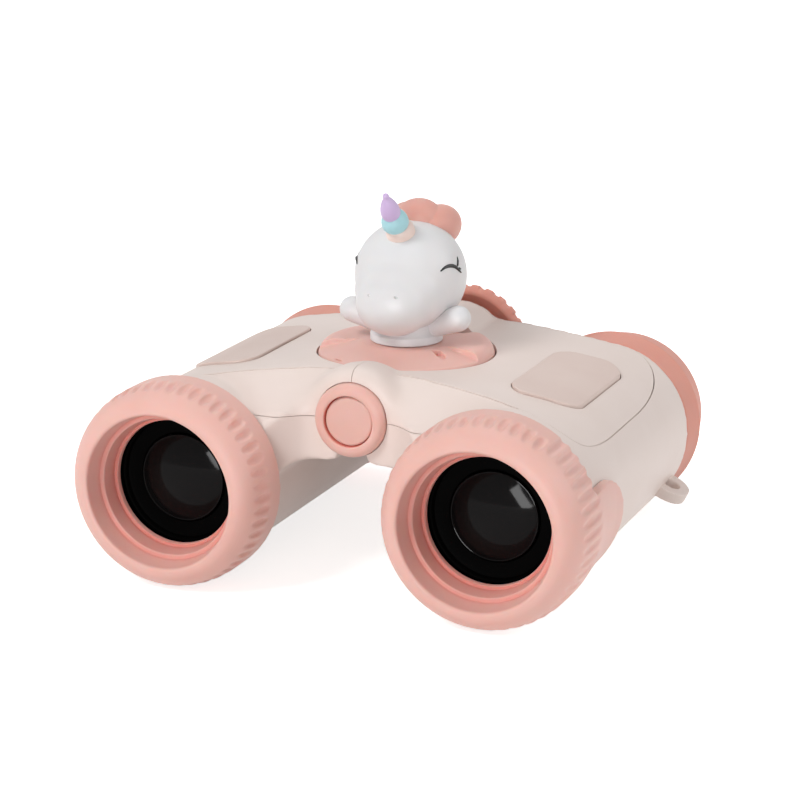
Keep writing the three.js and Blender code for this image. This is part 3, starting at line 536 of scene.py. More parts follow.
# %% Pads and their recess
def rounded(x0, x1, y0, y1, radius, steps=8):
    """Corner points of a rectangle with round corners."""
    points = arc(x1 - radius, y0 + radius, radius, -90, 0, steps)
    points += arc(x1 - radius, y1 - radius, radius, 0, 90, steps)
    points += arc(x0 + radius, y1 - radius, radius, 90, 180, steps)
    return points + arc(x0 + radius, y0 + radius, radius, 180, 270, steps)


pad_x = barrel_x + 1.7
pad_y = 48.4
pad_width = 14.5
pad_length = 31.4
pad_corner = 4
pad_bow = 1.3
pad_proud = 0.55
pad_depth = 0.9
pad_gap = 0.22
tool_foot = 12
tool_height = 12


def skin(name, lift):
    """The smooth case form, grown or shrunk along its normals."""
    layer = copy_of(case, name)
    return apply(layer, "DISPLACE", mid_level=0, strength=lift * mm, direction="NORMAL")


def pad_blank(name, grow):
    """A prism over the pad's bowed outline, larger all round by some millimetres."""
    half_width = pad_width / 2 + grow
    half_length = pad_length / 2 + grow
    plan = rounded(-half_width, half_width, -half_length, half_length, pad_corner + grow)
    bowed = [(x, y + pad_bow * (1 - (x / half_width) ** 2) * (1 if y > 0 else -1)) for x, y in plan]
    points = [place(pad_x + x, pad_y + y, tool_foot) for x, y in bowed]
    return prism(name, points, (0, 0, tool_height))


pad = pad_blank("right_finger_pad_look", 0)
combine(pad, skin("pad_crown", pad_proud), how="INTERSECT")
combine(pad, skin("pad_floor", -pad_depth))
soften(pad, voxel=0.2, rounds=4)
recess = combine(pad_blank("pad_recess", pad_gap), skin("recess_floor", -pad_depth - pad_gap))
both_sides(pad, "finger_pad", pad_abs)

# %% [markdown]
# ## Edge of the top
# Where the flat top breaks off into the front slope, a fine groove draws the edge. It is a thin
# curved wall in plan, of which the same template leaves only a shallow strip above its floor.

# %% Groove along the front slope
edge_width = 0.3
edge_depth = 0.22
groove_height = 20
top_edge = [(6.4, 27.25), (9, 27.2), (12.5, 26.9), (20, 25.65), (27, 24.45), (30, 23.7)]
top_edge += [(barrel_x + 0.7, 22.55)]
outline = [(x, y - edge_width / 2) for x, y in top_edge]
outline += [(x, y + edge_width / 2) for x, y in reversed(top_edge)]
groove_points = [place(x, y, tool_foot) for x, y in outline]
groove = prism("edge_groove", groove_points, (0, 0, groove_height))
combine(groove, skin("groove_floor", -edge_depth))
print("groove:", len(groove.data.polygons), "faces")

# %% [markdown]
# ## Crisp cuts
# Edges that meet a neighbour are sharp on the real part, so they are cut after the smoothing: the
# seam in the middle, the round pocket for the dial, the barrel's bore, the channel for the hinge,
# the recesses round the hinge cap and the finger pad, and the fine groove.

# %% Seam, pocket, bore, channel and recesses
def turned_up(name, profile, x, y, steps=128):
    """Spins [radius, z] points about a line along Z."""
    return spun(name, profile, (x, y, 0), Vector((0, 0, 1)), steps)


def rod(name, radius, start, end, x, z):
    return turned(name, [(0, start), (radius, start), (radius, end), (0, end)], x, z, 96)


seam = 0.06
pocket_floor = 18.6
bore_radius = 16.5
channel_radius = 6.5
cap_room = 7.6
cap_rear = 21.7
pocket_profile = [(0, pocket_floor), (pocket_radius, pocket_floor), (pocket_radius, 20.6)]
pocket_profile += [(pocket_radius + 0.25, 21.1), (pocket_radius + 1, reach), (0, reach)]
cut_at(case, place(seam, 0, 0), (1, 0, 0))
combine(
    case,
    turned_up("pocket", pocket_profile, 0, dial_y),
    rod("bore", bore_radius, 0, reach, barrel_x, 0),
    rod("channel", channel_radius, 0, reach, 0, hinge_z),
    rod("cap_room", cap_room, 0, cap_rear + 0.3, 0, hinge_z),
    recess,
    groove,
)
print("case after the cuts:", len(case.data.polygons), "faces")

# %% [markdown]
# The upper shell is a cover with round corners, whose seam runs over the barrel and along the
# front of the web. Its corners are drawn by the angle round the barrel, because the case is steep
# there. The seam is a hair-wide gap: one outline, a little smaller for the cover, a little larger
# for the rest.

# %% Split into cover and lower shell
cover_side = 9.6
cover_bend = barrel_x - 6
cover_edge = barrel_x + 15.6
cover_front = 22.6
cover_rear = 78.8
front_corner = [(88, cover_front)] + bezier((66, 20), (46, 20.2), (36.5, 21.5), (35.6, 36), 16)
rear_corner = bezier((36, 52), (36, 66), (44, 76.5), (66, cover_rear), 16)


def cover_space(name, grow):
    """The space that the cover takes up, larger all round by some millimetres."""
    side = [(-reach, hinge_z - grow), (cover_bend, hinge_z - grow), (cover_edge, cover_side - grow)]
    side += [(reach, cover_side - grow), (reach, reach), (-reach, reach)]
    above = prism(name, [place(x, outside, z) for x, z in side], (0, reach, 0))
    rear = cover_rear + grow
    plan = [(-reach, rear), (-reach, cover_front - grow)]
    for corner, way in ((front_corner, -1), (rear_corner, 1)):
        for angle, y in corner:
            x = barrel_x + (barrel_radius + 2 * grow) * cos(radians(angle))
            plan.append((x, y + way * grow))
    crown = prism("crown", [place(x, y, outside) for x, y in plan], (0, 0, reach))
    strip = rounded(-reach, barrel_x + 1, outside, rear, 0.5)
    web_part = prism("web_part", [place(x, y, outside) for x, y in strip], (0, 0, reach))
    combine(crown, web_part, how="UNION")
    return combine(above, crown, how="INTERSECT")


cover = copy_of(case, "right_upper_shell_look")
combine(cover, cover_space("cover_cut", -seam), how="INTERSECT")
combine(case, cover_space("lower_cut", seam))
case.name = "right_lower_shell_look"
both_sides(cover, "upper_shell", cream_abs, sharp=35)
both_sides(case, "lower_shell", cream_abs, sharp=35)

# %% [markdown]
# ## Strap lugs
# A flat loop stands out of each lower shell, for a strap that is not part of this model. It is a
# rounded plate with a slot, softened all round so that a strap would not fray on it.

# %% Strap lugs
lug_tilt = radians(25)
outwards = Vector((cos(lug_tilt), 0, -sin(lug_tilt)))
upwards = Vector((sin(lug_tilt), 0, cos(lug_tilt)))
backwards = Vector((0, 1, 0))


def lug_plate(name, plan, under, height):
    """A plate on the barrel's side: the plan holds [distance from the barrel axis, y] points."""
    foot = place(barrel_x, 0, 0) + upwards * under * mm
    points = [foot + (outwards * s + backwards * y) * mm for s, y in plan]
    return prism(name, points, upwards * height)


lug_plan = rounded(10, 23.45, 66.8, 76.2, 4.2)
slot_plan = rounded(15, 21.3, 69.6, 73.4, 1.85)
lug = lug_plate("right_strap_lug_look", lug_plan, under=-2.9, height=2.4)
combine(lug, lug_plate("slot", slot_plan, under=-5, height=8))
soften(lug, voxel=0.18, rounds=4)
both_sides(lug, "strap_lug", cream_abs)

# %% [markdown]
# ## Objective rings
# Each ring is the grip round the front lens: a broad rounded lip, a skirt over the barrel, and on
# the outer side a tongue that runs back along the case. The solid form is turned and joined with
# the tongue, which is turned as well and trimmed by its side view.

# %% Ring blank
ring_radius = 20.7
ring_rear = 13
lip_start = 16.2
shoulder = 7.5
quarter = [radians(9 * i) for i in range(11)]
ring_outline = [(0, 0)]
ring_outline += [
    (lip_start + (ring_radius - lip_start) * sin(a), shoulder * (1 - cos(a))) for a in quarter
]
ring_outline += [(ring_radius, ring_rear), (0, ring_rear)]
ring = turned("right_objective_ring_look", ring_outline, barrel_x, 0)
tongue_rear = 31
tongue_radius = 19.65
tongue_outline = [(0, 8), (ring_radius, 8), (ring_radius, 12.9), (20.5, 15), (20.2, 18), (19.9, 22)]
tongue_outline += [(tongue_radius, 26), (tongue_radius, tongue_rear), (0, tongue_rear)]
tongue = turned("tongue", tongue_outline, barrel_x, 0)
tongue_side = rounded(-9, tongue_rear, -16.5, 6, 9)
side_view = prism("tongue_side", [place(barrel_x, y, z) for y, z in tongue_side], (30, 0, 0))
combine(tongue, side_view, how="INTERSECT")
combine(ring, tongue, how="UNION")
print("ring blank:", len(ring.data.polygons), "faces")

# %% [markdown]
# Short flutes round the shoulder help small hands, and over the tongue they run out longer. They
# could be modelled one by one, but one long drop, spun round the barrel in four fans, cuts them
# all.

# %% Flutes
def ball(name, centre, size, segments=48, lean=0):
    """A stretched ball, turned about Z by some degrees, to be joined to a piece or cut from it."""
    bpy.ops.object.select_all(action="DESELECT")
    bpy.ops.mesh.primitive_uv_sphere_add(
        segments=segments,
        ring_count=segments // 2,
        radius=mm,
        location=place(*centre),
        rotation=(0, 0, radians(lean)),
        scale=size,
    )
    return settle(name)


def fan(obj, steps, angle, centre):
    """Spins copies of the mesh about a line along Y."""
    select(obj)
    bpy.ops.object.mode_set(mode="EDIT")
    bpy.ops.mesh.select_all(action="SELECT")
    bpy.ops.mesh.spin(steps=steps, dupli=True, angle=angle, center=centre, axis=(0, 1, 0))
    bpy.ops.object.mode_set(mode="OBJECT")
    return obj


def flute(name, radius, y, length, depth, lean):
    """One long drop beside the barrel, on its outer side for a positive radius."""
    size = (depth, length, flute_half_width)
    return ball(name, (barrel_x + radius, y, 0), size, segments=16, lean=lean)


flute_half_width = 0.85
flute_count = 50
flute_pitch = 2 * pi / flute_count
half_turn = flute_count // 2
long_down, long_up = 7, 3
short_up = half_turn - long_up - 1
short_down = half_turn - long_down - 1
barrel_axis = place(barrel_x, 0, 0)
short = flute("short_flutes", radius=-20.5, y=5.8, length=3.6, depth=0.62, lean=9)
more = copy_of(short, "more_short_flutes")
long = flute("long_flutes", radius=20.6, y=9, length=7, depth=0.45, lean=-1.5)
longer = copy_of(long, "more_long_flutes")
fan(short, short_up, short_up * flute_pitch, barrel_axis)
fan(more, short_down, -short_down * flute_pitch, barrel_axis)
fan(long, long_down, long_down * flute_pitch, barrel_axis)
fan(longer, long_up, -long_up * flute_pitch, barrel_axis)
combine(ring, short, more, long, longer)
soften(ring, voxel=0.28, rounds=3)
print("ring with flutes:", len(ring.data.polygons), "faces")

# %% [markdown]
# The stepped mouth and the barrel's room are cut after the softening, so that their edges stay
# true.

# %% Mouth and barrel room
mouth = [(0, -1), (16.8, -1), (16.1, -0.03), (15.75, 0.1), (15.55, 0.3), (15.45, 0.7), (14.85, 4)]
mouth += [(14.7, 4.2), (14.05, 4.3), (13.9, 4.45), (13.35, 7.6), (13.2, 7.75), (12.8, 7.8)]
mouth += [(12.7, 7.95), (12.7, 8.9), (18.5, 8.9), (18.5, 40), (0, 40)]
combine(ring, turned("mouth", mouth, barrel_x, 0, steps=160))
both_sides(ring, "objective_ring", coral_painted_shade_abs, sharp=35)

# %% [markdown]
# ## Optics
# Behind the mouth there is only black: the tube with its lens cell, a flat retainer ring and the
# domed front lens. At the rear, the eyepiece housing closes the tube and holds a smaller lens.
# All are turned parts, spun with enough steps to look round close up.

# %% Tube
tube_profile = [(16.2, 9.2), (16.2, 12.2), (15, 12.2), (15, 69.8), (16.2, 69.8), (16.2, 72.8)]
tube_profile += [(12, 72.8), (12, 17.3), (13.4, 17.3), (13.4, 9.2), (16.2, 9.2)]
tube = turned("right_optics_tube_look", tube_profile, barrel_x, 0, steps=96)
arm_corners = ((-20, 5), (-20, 13), (-8, 13), (-8, 5))
arm_room = [place(barrel_x + x, 55, z) for x, z in arm_corners]
combine(tube, prism("arm_room", arm_room, (0, 10, 0)))
both_sides(tube, "optics_tube", black_abs)

# %% [markdown]
# The front lens is a shallow dome on a flanged foot, and a ring with a rounded lip holds it in
# the cell.

# %% Front lens and retainer
lens_edge = 8.6
lens_apex = 9.3
dome_radius = 20
dome_angle = asin(lens_edge / dome_radius)
dome_steps = 14
dome = [
    (dome_radius * sin(a), lens_apex + dome_radius * (1 - cos(a)))
    for a in (dome_angle * i / dome_steps for i in range(dome_steps + 1))
]
rim_y = dome[-1][1]
dome += [(lens_edge + 0.12, rim_y - 0.05), (lens_edge + 0.25, rim_y), (lens_edge + 0.3, 15.7)]
dome += [(13.1, 15.8), (13.1, 17), (11.7, 17), (8, 17.7), (4, 18.1), (0, 18.2)]
lens = turned("right_objective_lens_look", dome, barrel_x, 0)
both_sides(lens, "objective_lens", lens_glass, sharp=30)
seat = [(13.1, 10.6), (13.1, 15.5), (9.1, 15.5), (9.1, 11.9), (9.3, 11.7), (11.8, 11.7)]
seat += [(12.2, 11.5), (12.4, 11), (12.55, 10.7), (12.8, 10.55), (13.1, 10.6)]
retainer = turned("right_lens_retainer_look", seat, barrel_x, 0)
both_sides(retainer, "lens_retainer", black_abs)

# %% [markdown]
# The eyepiece housing is a stepped tube: one step plugs the barrel, and the next carries the
# eyecup.

# %% Eyepiece housing and rear lens
housing_profile = [(16.2, 73.1), (16.2, 80), (14.2, 80), (14.2, 90), (13.9, 90.4), (13.5, 90.5)]
housing_profile += [(10.8, 90.5), (10.3, 90.1), (10.3, 85.2), (9, 85.2), (9, 73.1), (16.2, 73.1)]
housing = turned("right_eyepiece_housing_look", housing_profile, barrel_x, 0)
both_sides(housing, "eyepiece_housing", black_abs)
rear_radius = 10
rear_apex = 88.8
rear_sag = 0.9
rear_dome = [(0, 85.5), (rear_radius, 85.5), (rear_radius, 87.9)]
rear_dome += [(rear_radius * i / 8, rear_apex - rear_sag * (i / 8) ** 2) for i in range(7, -1, -1)]
rear_lens = turned("right_ocular_lens_look", rear_dome, barrel_x, 0)
both_sides(rear_lens, "ocular_lens", lens_glass, sharp=60)

# %% [markdown]
# ## Eyecups
# The eyecups are soft rubber: they widen to a crease, then close in to a rounded rim. One turned
# profile gives the whole cup, with small curves where the rubber would never be sharp.

# %% Eyecups
cup = [(14.55, 80.35), (17.55, 80.35), (17.9, 80.5), (18.03, 80.9)]
cup += bezier((18.1, 81.5), (18.25, 83.5), (18.5, 85.2), (18.8, 86.6), 6)
cup += [(18.88, 86.85), (18.86, 87.05), (18.75, 87.3)]
cup += bezier((18.5, 87.8), (17.9, 90), (17.3, 93.4), (16.8, 95.4), 8)
cup += bezier((16.6, 96.2), (16.2, 97), (15.4, 97.1), (14.9, 96.3), 6)
cup += [(14.6, 95.4), (14.55, 94.6), (14.55, 80.35)]
eyecup = turned("right_eyecup_look", cup, barrel_x, 0, steps=160)
both_sides(eyecup, "eyecup", coral_rubber, sharp=50)

# %% [markdown]
# ## Hinge cap
# A coral cap closes the front of the hinge, with a flat disc set into it like a coin. Its edge is
# the roundest on the whole toy, so it gets a real quarter circle.

# %% Cap and disc
cap = [(1.5, cap_rear), (7.45, cap_rear), (7.45, 19.3)]
cap += arc(5.85, 19.3, 1.6, 0, -90, 8)[1:]
cap += [(5.4, 17.72), (5.22, 17.82), (5.15, 18), (5.05, 19.5)]
cap += [(2.9, 19.5), (2.9, 20.6), (1.5, 20.6)]
hinge_cap = turned("hinge_cap_look", cap + cap[:1], 0, hinge_z)
hand_over(hinge_cap, "spine", ["hinge_cap"], coral_painted_shade_abs)
disc = [(0, 18.25), (4.4, 18.27), (4.75, 18.33), (4.9, 18.5), (4.9, 19.4), (0, 19.4)]
cap_disc = turned("hinge_cap_disc_look", disc, 0, hinge_z)
hand_over(cap_disc, "spine", ["hinge_cap_disc"], coral_abs)

# %% [markdown]
# ## Focus wheel
# The wheel between the eyepieces is ribbed for the finger. One rib is drawn in side view, pushed
# to its width and spun round the wheel, then all is joined to the turned body and softened.

# %% Focus wheel
wheel = [(2.1, 82.2), (4.7, 82.2), (5, 82.5), (5, 84.4), (9.2, 84.4), (11.7, 82.5)]
wheel += [(12, 82.2), (12.6, 82.2), (13.1, 82.7), (13.35, 83.4), (13.3, 84.5), (12, 87.2)]
wheel += [(11.7, 87.4), (11.4, 87.1), (11.4, 86), (5, 86), (5, 87.2), (4.8, 87.4), (2.1, 87.4)]
focus_wheel = turned("focus_wheel_look", wheel + wheel[:1], 0, hinge_z)
rib_count = 26
rib_width = 1.7
rib_side = [(11.9, 82.8), (12.9, 82.4), (13.55, 83), (13.8, 83.7)]
rib_side += [(13.7, 84.6), (12.5, 87.2), (11.9, 87.2)]
rib_points = [place(r, y, hinge_z - rib_width / 2) for r, y in rib_side]
ribs = prism("ribs", rib_points, (0, 0, rib_width))
turn = 2 * pi * (rib_count - 1) / rib_count
fan(ribs, rib_count - 1, turn, place(0, 0, hinge_z))
combine(focus_wheel, ribs, how="UNION")
soften(focus_wheel, voxel=0.22, rounds=4)
hand_over(focus_wheel, "focus_drive", ["focus_wheel"], coral_rubber)
button = [(0, 87.7), (4.6, 87.7), (4.6, 88.2), (4.45, 88.6), (4.1, 88.82), (2, 88.9), (0, 88.9)]
wheel_cap = turned("wheel_cap_look", button, 0, hinge_z)
hand_over(wheel_cap, "focus_drive", ["wheel_cap"], coral_abs)

# %% [markdown]
# ## Twist dial
# The figure stands on a dial that turns in a round pocket. A raised ear on each side gives finger
# and thumb a hold. Between them the front is bevelled, and the rear is scooped out.

# %% Dial
dial_foot = 18.9
dial_profile = [(3.4, dial_foot), (17.8, dial_foot), (18.1, 19.2), (18.1, 20.5), (17.9, 20.85)]
dial_profile += [(17.5, 21.05), (13, 21.7), (9, 22.1), (3.4, 22.1), (3.4, dial_foot)]
dial = turned_up("dial_base_look", dial_profile, 0, dial_y)
collar_profile = [(3.4, 20), (18, 20)]
collar_profile += bezier((17.9, 20.9), (17.6, 22.4), (16.6, 22.95), (14.6, 23), 8)
collar_profile += [(10.6, 23), (3.4, 22.9), (3.4, 20)]
collar = turned_up("collar", collar_profile, 0, dial_y)
bevel_profile = [(9, 23.1), (18.6, 20.85), (26, 20.85), (26, 30), (9, 30), (9, 23.1)]
bevel = turned_up("front_bevel", bevel_profile, 0, dial_y)
bevel_sector = [(0, dial_y)] + arc(0, dial_y, 60, 200, 346, 24)
sector = prism("bevel_sector", [place(x, y, 15) for x, y in bevel_sector], (0, 0, 20))
combine(bevel, sector, how="INTERSECT")
scoop = arc(0, dial_y, 25, 47, 148, 16) + arc(0, dial_y, 8.6, 148, 47, 16)
combine(collar, bevel, prism("scoop", [place(x, y, 19) for x, y in scoop], (0, 0, 8)))
combine(dial, collar, how="UNION")
soften(dial, voxel=0.2, rounds=2)
print("dial blank:", len(dial.data.polygons), "faces")

# %% [markdown]
# Two marks show how far the dial is turned: a notch like a drop on its bevel and a dash at its
# edge. Both are cut after the softening, which would wash them out.

# %% Marks of the dial
notch_angle = -39
dash_angle = -121
mark_height = 4


def mark(name, angle, plan, floor):
    """A tool for a small mark: the plan holds [outwards, sideways] points about the dial's middle."""
    along = Vector((cos(radians(angle)), sin(radians(angle)), 0))
    across = Vector((-along.y, along.x, 0))
    middle_point = place(0, dial_y, floor)
    points = [middle_point + (along * u + across * v) * mm for u, v in plan]
    return prism(name, points, (0, 0, mark_height))


notch_plan = [(10.3, 0), (14.5, 0)] + bezier((14.7, 0.3), (14.4, 1.4), (12.8, 2.1), (11.4, 2), 8)
notch_plan += [(10.7, 1.9), (10.35, 1.5)]
combine(dial, mark("notch", notch_angle, notch_plan, floor=21.7))
dash_plan = rounded(16.9, 17.4, -1, 1, 0.2, 3)
combine(dial, mark("dash", dash_angle, dash_plan, floor=20.9))
hand_over(dial, "figure", ["dial_base"], coral_abs, sharp=35)

# %% [markdown]
# ## The figure
# A small horned pony in soft vinyl. Head, muzzle and snout are three balls whose joints the
# smoothing melts into one form, which is quicker than sculpting it.

# %% Head
head = ball("figure_head_look", (0, 50.5, 36.1), (11.6, 11.4, 11.4), segments=64)
muzzle = ball("muzzle", (0, 46.4, 33.9), (9.9, 9.8, 8.6), segments=64)
snout = ball("snout", (0, 41.7, 32), (7.9, 7.4, 6.7), segments=64)
combine(head, muzzle, snout, how="UNION")
soften(head, voxel=0.45, rounds=18)
print("head:", len(head.data.polygons), "faces")

# %% [markdown]
# The nostrils are two shallow dents. Their places are found by a ray from outside to the head's
# middle, so that they lie on the skin wherever the smoothing has left it, and a small ball is cut
# out there.

# %% Nostrils
head_middle = place(0, 51, 36)
ray_length = 30


def on_head(azimuth, elevation):
    """The point of the head at these angles from its middle, in degrees from straight ahead."""
    a, e = radians(azimuth), radians(elevation)
    ray = Vector((sin(a) * cos(e), -cos(a) * cos(e), sin(e)))
    return head.ray_cast(head_middle + ray * ray_length * mm, -ray)[1]


nostril_size = (0.55, 0.35, 0.3)
nostrils = []
for side in (1, -1):
    at = on_head(10.7 * side, -4.8) - place(0, 0, 0)
    nostrils.append(ball("nostril", at / mm, nostril_size, segments=24, lean=-10 * side))
combine(head, *nostrils)
hand_over(head, "figure", ["figure_head"], white_vinyl, sharp=50)

# %% [markdown]
# The body is turned, with a thin white skirt on the dial. The forelegs are turned too, each about
# its own leaning axis, with a round end.

# %% Body
body = [(0, 23.05), (7.2, 23.05), (7.45, 23.25), (7.45, 24.6), (7.3, 24.85), (6.9, 25.1)]
body += [(6.6, 26.5), (6, 29), (5.6, 31.4), (0, 31.4)]
torso = turned_up("figure_body_look", body, 0, dial_y)
hand_over(torso, "figure", ["figure_body"], white_vinyl, sharp=50)

# %% Forelegs
leg_root = Vector((5.4, 47.7, 26))
leg_tip = Vector((12.4, 47.3, 28.9))
leg_axis = (leg_tip - leg_root).normalized()
leg_profile = [(0, -1.5), (1.8, -1), (2.2, 0.5), (2.3, 3), (2.5, 5), (2.62, 6.2)]
leg_profile += [(2.66 * cos(a), 6.7 + 2.7 * sin(a)) for a in quarter]
leg = spun("right_foreleg_look", leg_profile, leg_root, leg_axis, steps=64)
left_leg = mirrored(leg, "left_foreleg_look")
hand_over(leg, "figure", ["right_foreleg"], white_vinyl, sharp=60)
hand_over(left_leg, "figure", ["left_foreleg"], white_vinyl, sharp=60)

# %% [markdown]
# The horn is three drops of vinyl, each set into the one below and leaning forward. Each is a
# curve spun about the horn's axis.

# %% Horn
horn_root = Vector((0, 45, 46))
horn_lean = radians(34)
horn_axis = Vector((0, -sin(horn_lean), cos(horn_lean)))
base_drop = [(0, -1.8)] + bezier((2.6, -1.8), (3.2, -0.6), (3.1, 1.2), (2.2, 1.9), 10) + [(0, 2.2)]
middle_drop = [(0, 0.9)] + bezier((1, 0.95), (3.55, 1.3), (3.1, 4.3), (1.3, 5.7), 14) + [(0, 6.1)]
tip_drop = [(0, 4)] + bezier((0.8, 4.05), (2.65, 4.4), (2.1, 7.3), (0.85, 9.3), 14)
tip_drop += bezier((0.75, 9.5), (0.55, 9.8), (0.85, 10.35), (0.3, 10.65), 8) + [(0, 10.7)]
tiers = [
    ("base", base_drop, (0, 0, 0), horn_blush, "horn_cream"),
    ("middle", middle_drop, (-0.15, -0.9, 0.1), horn_cyan, "horn_cyan"),
    ("tip", tip_drop, (-0.3, -1.3, 0.05), horn_lilac, "horn_lilac"),
]
for tier, profile, shift, material, slot in tiers:
    drop = spun(f"horn_{tier}_look", profile, horn_root + Vector(shift), horn_axis, steps=64)
    hand_over(drop, "figure", [f"horn_{tier}"], material, sharp=80)

# %% [markdown]
# The mane is a row of round tufts that run from the crown down the neck. They are joined balls,
# hardly smoothed, so that the creases between them stay.

# %% Mane
mane = ball("mane_look", (0, 55, 46.9), (5, 5, 4.2))
tufts = [ball("nape", (0, 61.6, 40.5), (4.6, 4.4, 5)), ball("tail", (0, 63.2, 34.6), (4, 3.6, 5.2))]
for side in (1, -1):
    tufts.append(ball("side_tuft", (side * 3.6, 57, 45.3), (4, 6, 4.4), lean=-12 * side))
combine(mane, *tufts, how="UNION")
soften(mane, voxel=0.16, rounds=1)
hand_over(mane, "figure", ["mane"], coral_vinyl, sharp=50)

# %% [markdown]
# The closed eyes are painted lines. A chain of points is thrown onto the head along rays to its
# middle, made a curve with a round section that thins towards its ends, and turned into a mesh.

# %% Closed eyes
thin_end = 0.35


def stroke(name, angles, width):
    """A painted line over the head, through points that are given by their angles."""
    line = trace(name, [on_head(*pair) for pair in angles])
    close_edit()
    select(line)
    bpy.ops.object.convert(target="CURVE")
    line.data.bevel_depth = width / 2 * mm
    line.data.bevel_resolution = 3
    line.data.use_fill_caps = True
    points = line.data.splines[0].points
    for i, point in enumerate(points):
        point.radius = thin_end + (1 - thin_end) * sin(pi * i / (len(points) - 1))
    bpy.ops.object.convert(target="MESH")
    return bpy.context.object


lid = [(52.4, 13.8), (55.6, 15.7), (59.3, 17.1), (62.8, 17.7), (66.5, 17.6), (70, 17), (73.1, 15.6)]
lid += [(76.4, 13.2), (79.6, 10.4), (82.3, 8.2)]
eye = stroke("right_closed_eye", lid, 0.8)
lash = stroke("upper_lash", [(75.6, 14.4), (78.1, 16.8), (80.6, 20.4), (82.5, 24.6)], 0.55)
short_lash = stroke("lower_lash", [(77.5, 12.3), (80, 12.6), (83.2, 11.8)], 0.6)
select(eye)
lash.select_set(True)
short_lash.select_set(True)
bpy.ops.object.join()
left_eye = mirrored(eye, "left_closed_eye")
hand_over(eye, "figure", [], lash_paint)
hand_over(left_eye, "figure", [], lash_paint)

# %% [markdown]
# ## Screws underneath
# Two screws hold each half together from below. Each is turned, and a cross is cut into its head.

# %% Case screws
screw_x = barrel_x - 22.3
head_face = 5.4
neck = head_face + 1.3
screw_tip = head_face + 11.2
screw_profile = [(0, head_face), (1.5, head_face), (1.8, head_face + 0.2), (1.9, head_face + 0.5)]
screw_profile += [(1.9, neck), (1, neck), (1, screw_tip), (0, screw_tip)]
for number, screw_y in enumerate((35, 52), 1):
    screw = turned_up(f"right_case_screw_{number}_look", screw_profile, screw_x, screw_y, steps=48)
    for half_x, half_y in ((1.2, 0.25), (0.25, 1.2)):
        x_span = (screw_x - half_x, screw_x + half_x)
        y_span = (screw_y - half_y, screw_y + half_y)
        plan = rounded(*x_span, *y_span, 0.1, 2)
        combine(screw, prism("cross", [place(x, y, head_face - 1) for x, y in plan], (0, 0, 1.7)))
    both_sides(screw, f"case_screw_{number}", zinc_steel)

# %% [markdown]
# ## Inner pieces
# The spine, knuckles, nut and focus carriages show only through gaps and in an open pose. Their
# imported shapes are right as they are, so they only get a finish.

# %% Finishes for the inner pieces
inner = {
    natural_nylon: ["spine", "rear_bushing", "focus_nut"],
    zinc_steel: ["hinge_screw", "focus_screw"],
    black_abs: [],
    lens_glass: [],
}
for side in ("right", "left"):
    inner[natural_nylon] += [f"{side}_front_knuckle", f"{side}_rear_knuckle"]
    inner[black_abs].append(f"{side}_focus_carriage")
    inner[lens_glass].append(f"{side}_focus_lens")
for material, names in inner.items():
    for name in names:
        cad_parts[name].data.materials.clear()
        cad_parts[name].data.materials.append(material)
print(sum(len(names) for names in inner.values()), "inner nodes finished")

# %% [markdown]
# ## Floor and room
# The floor is pale and the room is white. For the camera the floor adds a little light of its
# own, so it joins the white background, while the soft shadow under the toy stays.

# %% Floor
def seen_directly(tree):
    """1 for a ray from the camera or one sent on by gloss or glass, and 0 for the rest."""
    path = add(tree, "ShaderNodeLightPath").outputs
    clear = {0: path["Is Glossy Ray"], 1: path["Is Transmission Ray"]}
    through = add(tree, "ShaderNodeMath", links=clear, operation="MAXIMUM").outputs[0]
    both = {0: path["Is Camera Ray"], 1: through}
    return add(tree, "ShaderNodeMath", links=both, operation="MAXIMUM").outputs[0]


bpy.ops.object.select_all(action="DESELECT")
bpy.ops.mesh.primitive_plane_add(size=6)
floor = settle("studio_floor")
paper = bpy.data.materials.new("studio_paper")
paper.use_nodes = True
tree = paper.node_tree
shader = tree.nodes["Principled BSDF"]
shader.inputs["Base Color"].default_value = linear("#f4f3f2")
shader.inputs["Roughness"].default_value = 0.9
shader.inputs["Emission Color"].default_value = linear("#ffffff")
floor_glow = 0.72
seen = {0: seen_directly(tree)}
glow = add(tree, "ShaderNodeMath", links=seen, values={1: floor_glow}, operation="MULTIPLY")
tree.links.new(glow.outputs[0], shader.inputs["Emission Strength"])
floor.data.materials.append(paper)
print("floor glow", floor_glow)

# %% [markdown]
# The room is bright for the camera and for reflections, and dim as a light, so that the lamps
# give the toy its shading.

# %% Room
world = bpy.data.worlds.new("white_room")
bpy.context.scene.world = world
world.use_nodes = True
tree = world.node_tree
room_light = 0.22
level = add(
    tree,
    "ShaderNodeMapRange",
    links={"Value": seen_directly(tree)},
    values={"To Min": room_light, "To Max": 1.0},
)
tree.nodes["Background"].inputs["Color"].default_value = (1, 1, 1, 1)
tree.links.new(level.outputs["Result"], tree.nodes["Background"].inputs["Strength"])
print("room light", room_light)

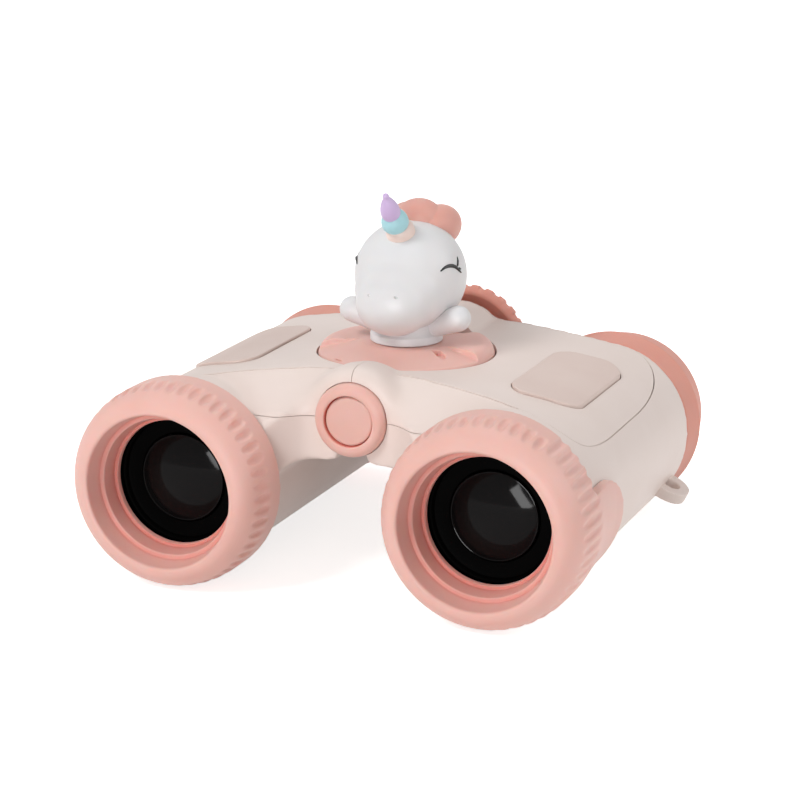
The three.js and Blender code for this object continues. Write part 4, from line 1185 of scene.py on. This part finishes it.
# %% [markdown]
# ## Lamps
# A soft box from the upper left in front is the key, and a long low one straight ahead keeps the
# rings even. One from the right fills the side, and one above and behind lifts the top. A narrow
# strip in front, seen only in reflections, gives the lenses their bright line.

# %% Lamps
def soft_box(name, at, towards, size, power, roll=0):
    """A rectangular lamp that is aimed at a point."""
    bpy.ops.object.select_all(action="DESELECT")
    bpy.ops.object.light_add(type="AREA", location=at)
    lamp = bpy.context.object
    lamp.name = name
    lamp.data.shape = "RECTANGLE"
    lamp.data.size, lamp.data.size_y = size
    lamp.data.energy = power
    aim = (Vector(towards) - Vector(at)).to_track_quat("-Z", "Y")
    lamp.rotation_euler = (aim @ Quaternion((0, 0, 1), radians(roll))).to_euler()
    return lamp


toy = (0, 0, 0.03)
key = soft_box("key_box", (-0.4, -0.7, 0.82), toy, size=(0.35, 0.35), power=6.3)
fill = soft_box("front_fill", (0.05, -1.0, 0.16), toy, size=(0.9, 0.25), power=2.2)
for lamp in (key, fill):
    lamp.visible_glossy = False
side_box = soft_box("side_box", (0.85, 0.12, 0.42), toy, size=(0.5, 0.5), power=2.6)
top_box = soft_box("top_box", (-0.1, 0.35, 1.0), toy, size=(0.7, 0.7), power=1.8)
strip = soft_box("strip_box", (0.19, -0.66, 0.12), toy, size=(0.12, 0.34), power=3.0, roll=35)
strip.visible_diffuse = False
for lamp in (key, fill, side_box, top_box, strip):
    print(lamp.name, lamp.data.energy, "W")

# %% [markdown]
# ## Camera
# The photograph's viewpoint was worked out from the rings, whose true circles show the direction,
# and from the barrel spacing, which shows the distance.

# %% Camera
azimuth, elevation = radians(22.336), radians(15.358)
forward = Vector((-sin(azimuth) * cos(elevation), cos(azimuth) * cos(elevation), -sin(elevation)))
bpy.ops.object.camera_add(location=(0.18733, -0.45971, 0.16705))
camera = bpy.context.object
camera.rotation_euler = forward.to_track_quat("-Z", "Y").to_euler()
camera.data.lens = 112.27
camera.data.sensor_width = 36
scene = bpy.context.scene
scene.camera = camera
scene.view_settings.view_transform = "Standard"
